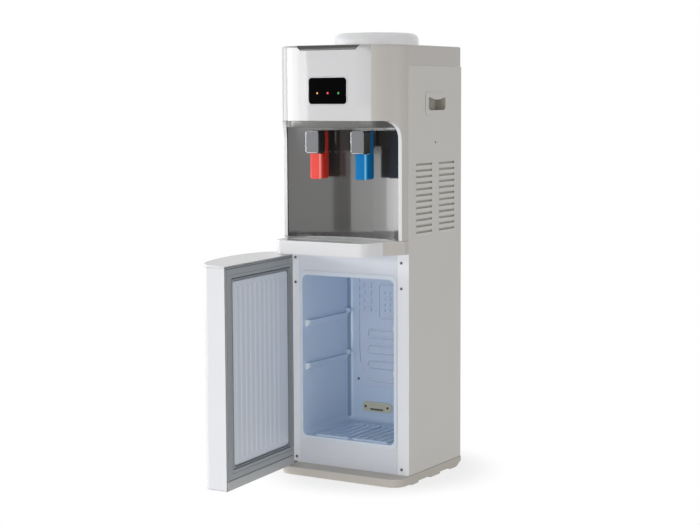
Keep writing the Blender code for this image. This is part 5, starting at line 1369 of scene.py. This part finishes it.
def add_world():
    """White to the camera, in gloss and through clear parts, and dim to every other ray."""
    world = bpy.data.worlds.new("studio")
    bpy.context.scene.world = world
    world.use_nodes = True
    tree = world.node_tree
    tree.nodes.clear()
    output = tree.nodes.new("ShaderNodeOutputWorld")
    rays = tree.nodes.new("ShaderNodeLightPath").outputs
    mix = tree.nodes.new("ShaderNodeMixShader")
    seen = largest(tree, rays["Is Camera Ray"], rays["Is Glossy Ray"], rays["Is Transmission Ray"])
    tree.links.new(seen, mix.inputs["Fac"])
    for socket, strength in ((1, AMBIENT), (2, 1.0)):
        background = tree.nodes.new("ShaderNodeBackground")
        set_inputs(background, Color=PURE_WHITE, Strength=strength)
        tree.links.new(background.outputs[0], mix.inputs[socket])
    tree.links.new(mix.outputs[0], output.inputs["Surface"])


def add_area(name, place, target, size, power):
    data = bpy.data.lights.new(name, "AREA")
    data.shape = "RECTANGLE"
    data.size, data.size_y = size
    data.energy = power
    lamp = add_object(name, data)
    lamp.location = place
    lamp.rotation_euler = (Vector(target) - Vector(place)).to_track_quat("-Z", "Y").to_euler()


CAMERA_PLACE = (1.87575, -3.16841, 0.84714)
CAMERA_TURN = (84.1697, 0.2506, 31.4877)
CAMERA_LENS = 84.2
SENSOR_WIDTH = 36


def add_camera():
    """Camera at the photograph's place, solved from the cabinet's edges."""
    data = bpy.data.cameras.new("camera")
    data.lens = CAMERA_LENS
    data.sensor_width = SENSOR_WIDTH
    camera = add_object("camera", data)
    camera.location = CAMERA_PLACE
    camera.rotation_euler = [math.radians(angle) for angle in CAMERA_TURN]
    bpy.context.scene.camera = camera


# Each light's name, place, target, width and height, and power in watts. The bands are low and wide, so that
# the head and the alcove mirror them in upright zones.
LIGHTS = (
    ("left_band", (-3.297, -2.274, 0.892), (0, -0.19, 0.892), (3.5, 0.376), 35),
    ("left_low", (-3.31, -2.17, 0.37), (0, -0.1, 0.37), (4.15, 0.42), 12),
    ("front_band", (-0.54, -4.05, 0.892), (0, -0.19, 0.892), (3.74, 0.376), 19),
    ("low_front", (0.5, -4.1, 0.42), (0, -0.12, 0.3), (3.4, 0.76), 10),
    ("kick", (0.35, -1.5, 0.09), (0, -0.12, 0.2), (0.9, 0.12), 2.3),
    ("right_fill", (4.2, 0.3, 1.2), (0, 0, 0.6), (3.0, 3.0), 24),
    ("left_fill", (-3.2, -0.2, 0.9), (0, 0, 0.5), (2.2, 1.8), 18),
    ("top", (0, -0.3, 3.0), (0, 0, 0.5), (2.5, 2.5), 8),
)

add_floor()
add_world()
for light in LIGHTS:
    add_area(*light)
add_camera()
bpy.context.scene.view_settings.view_transform = "Standard"
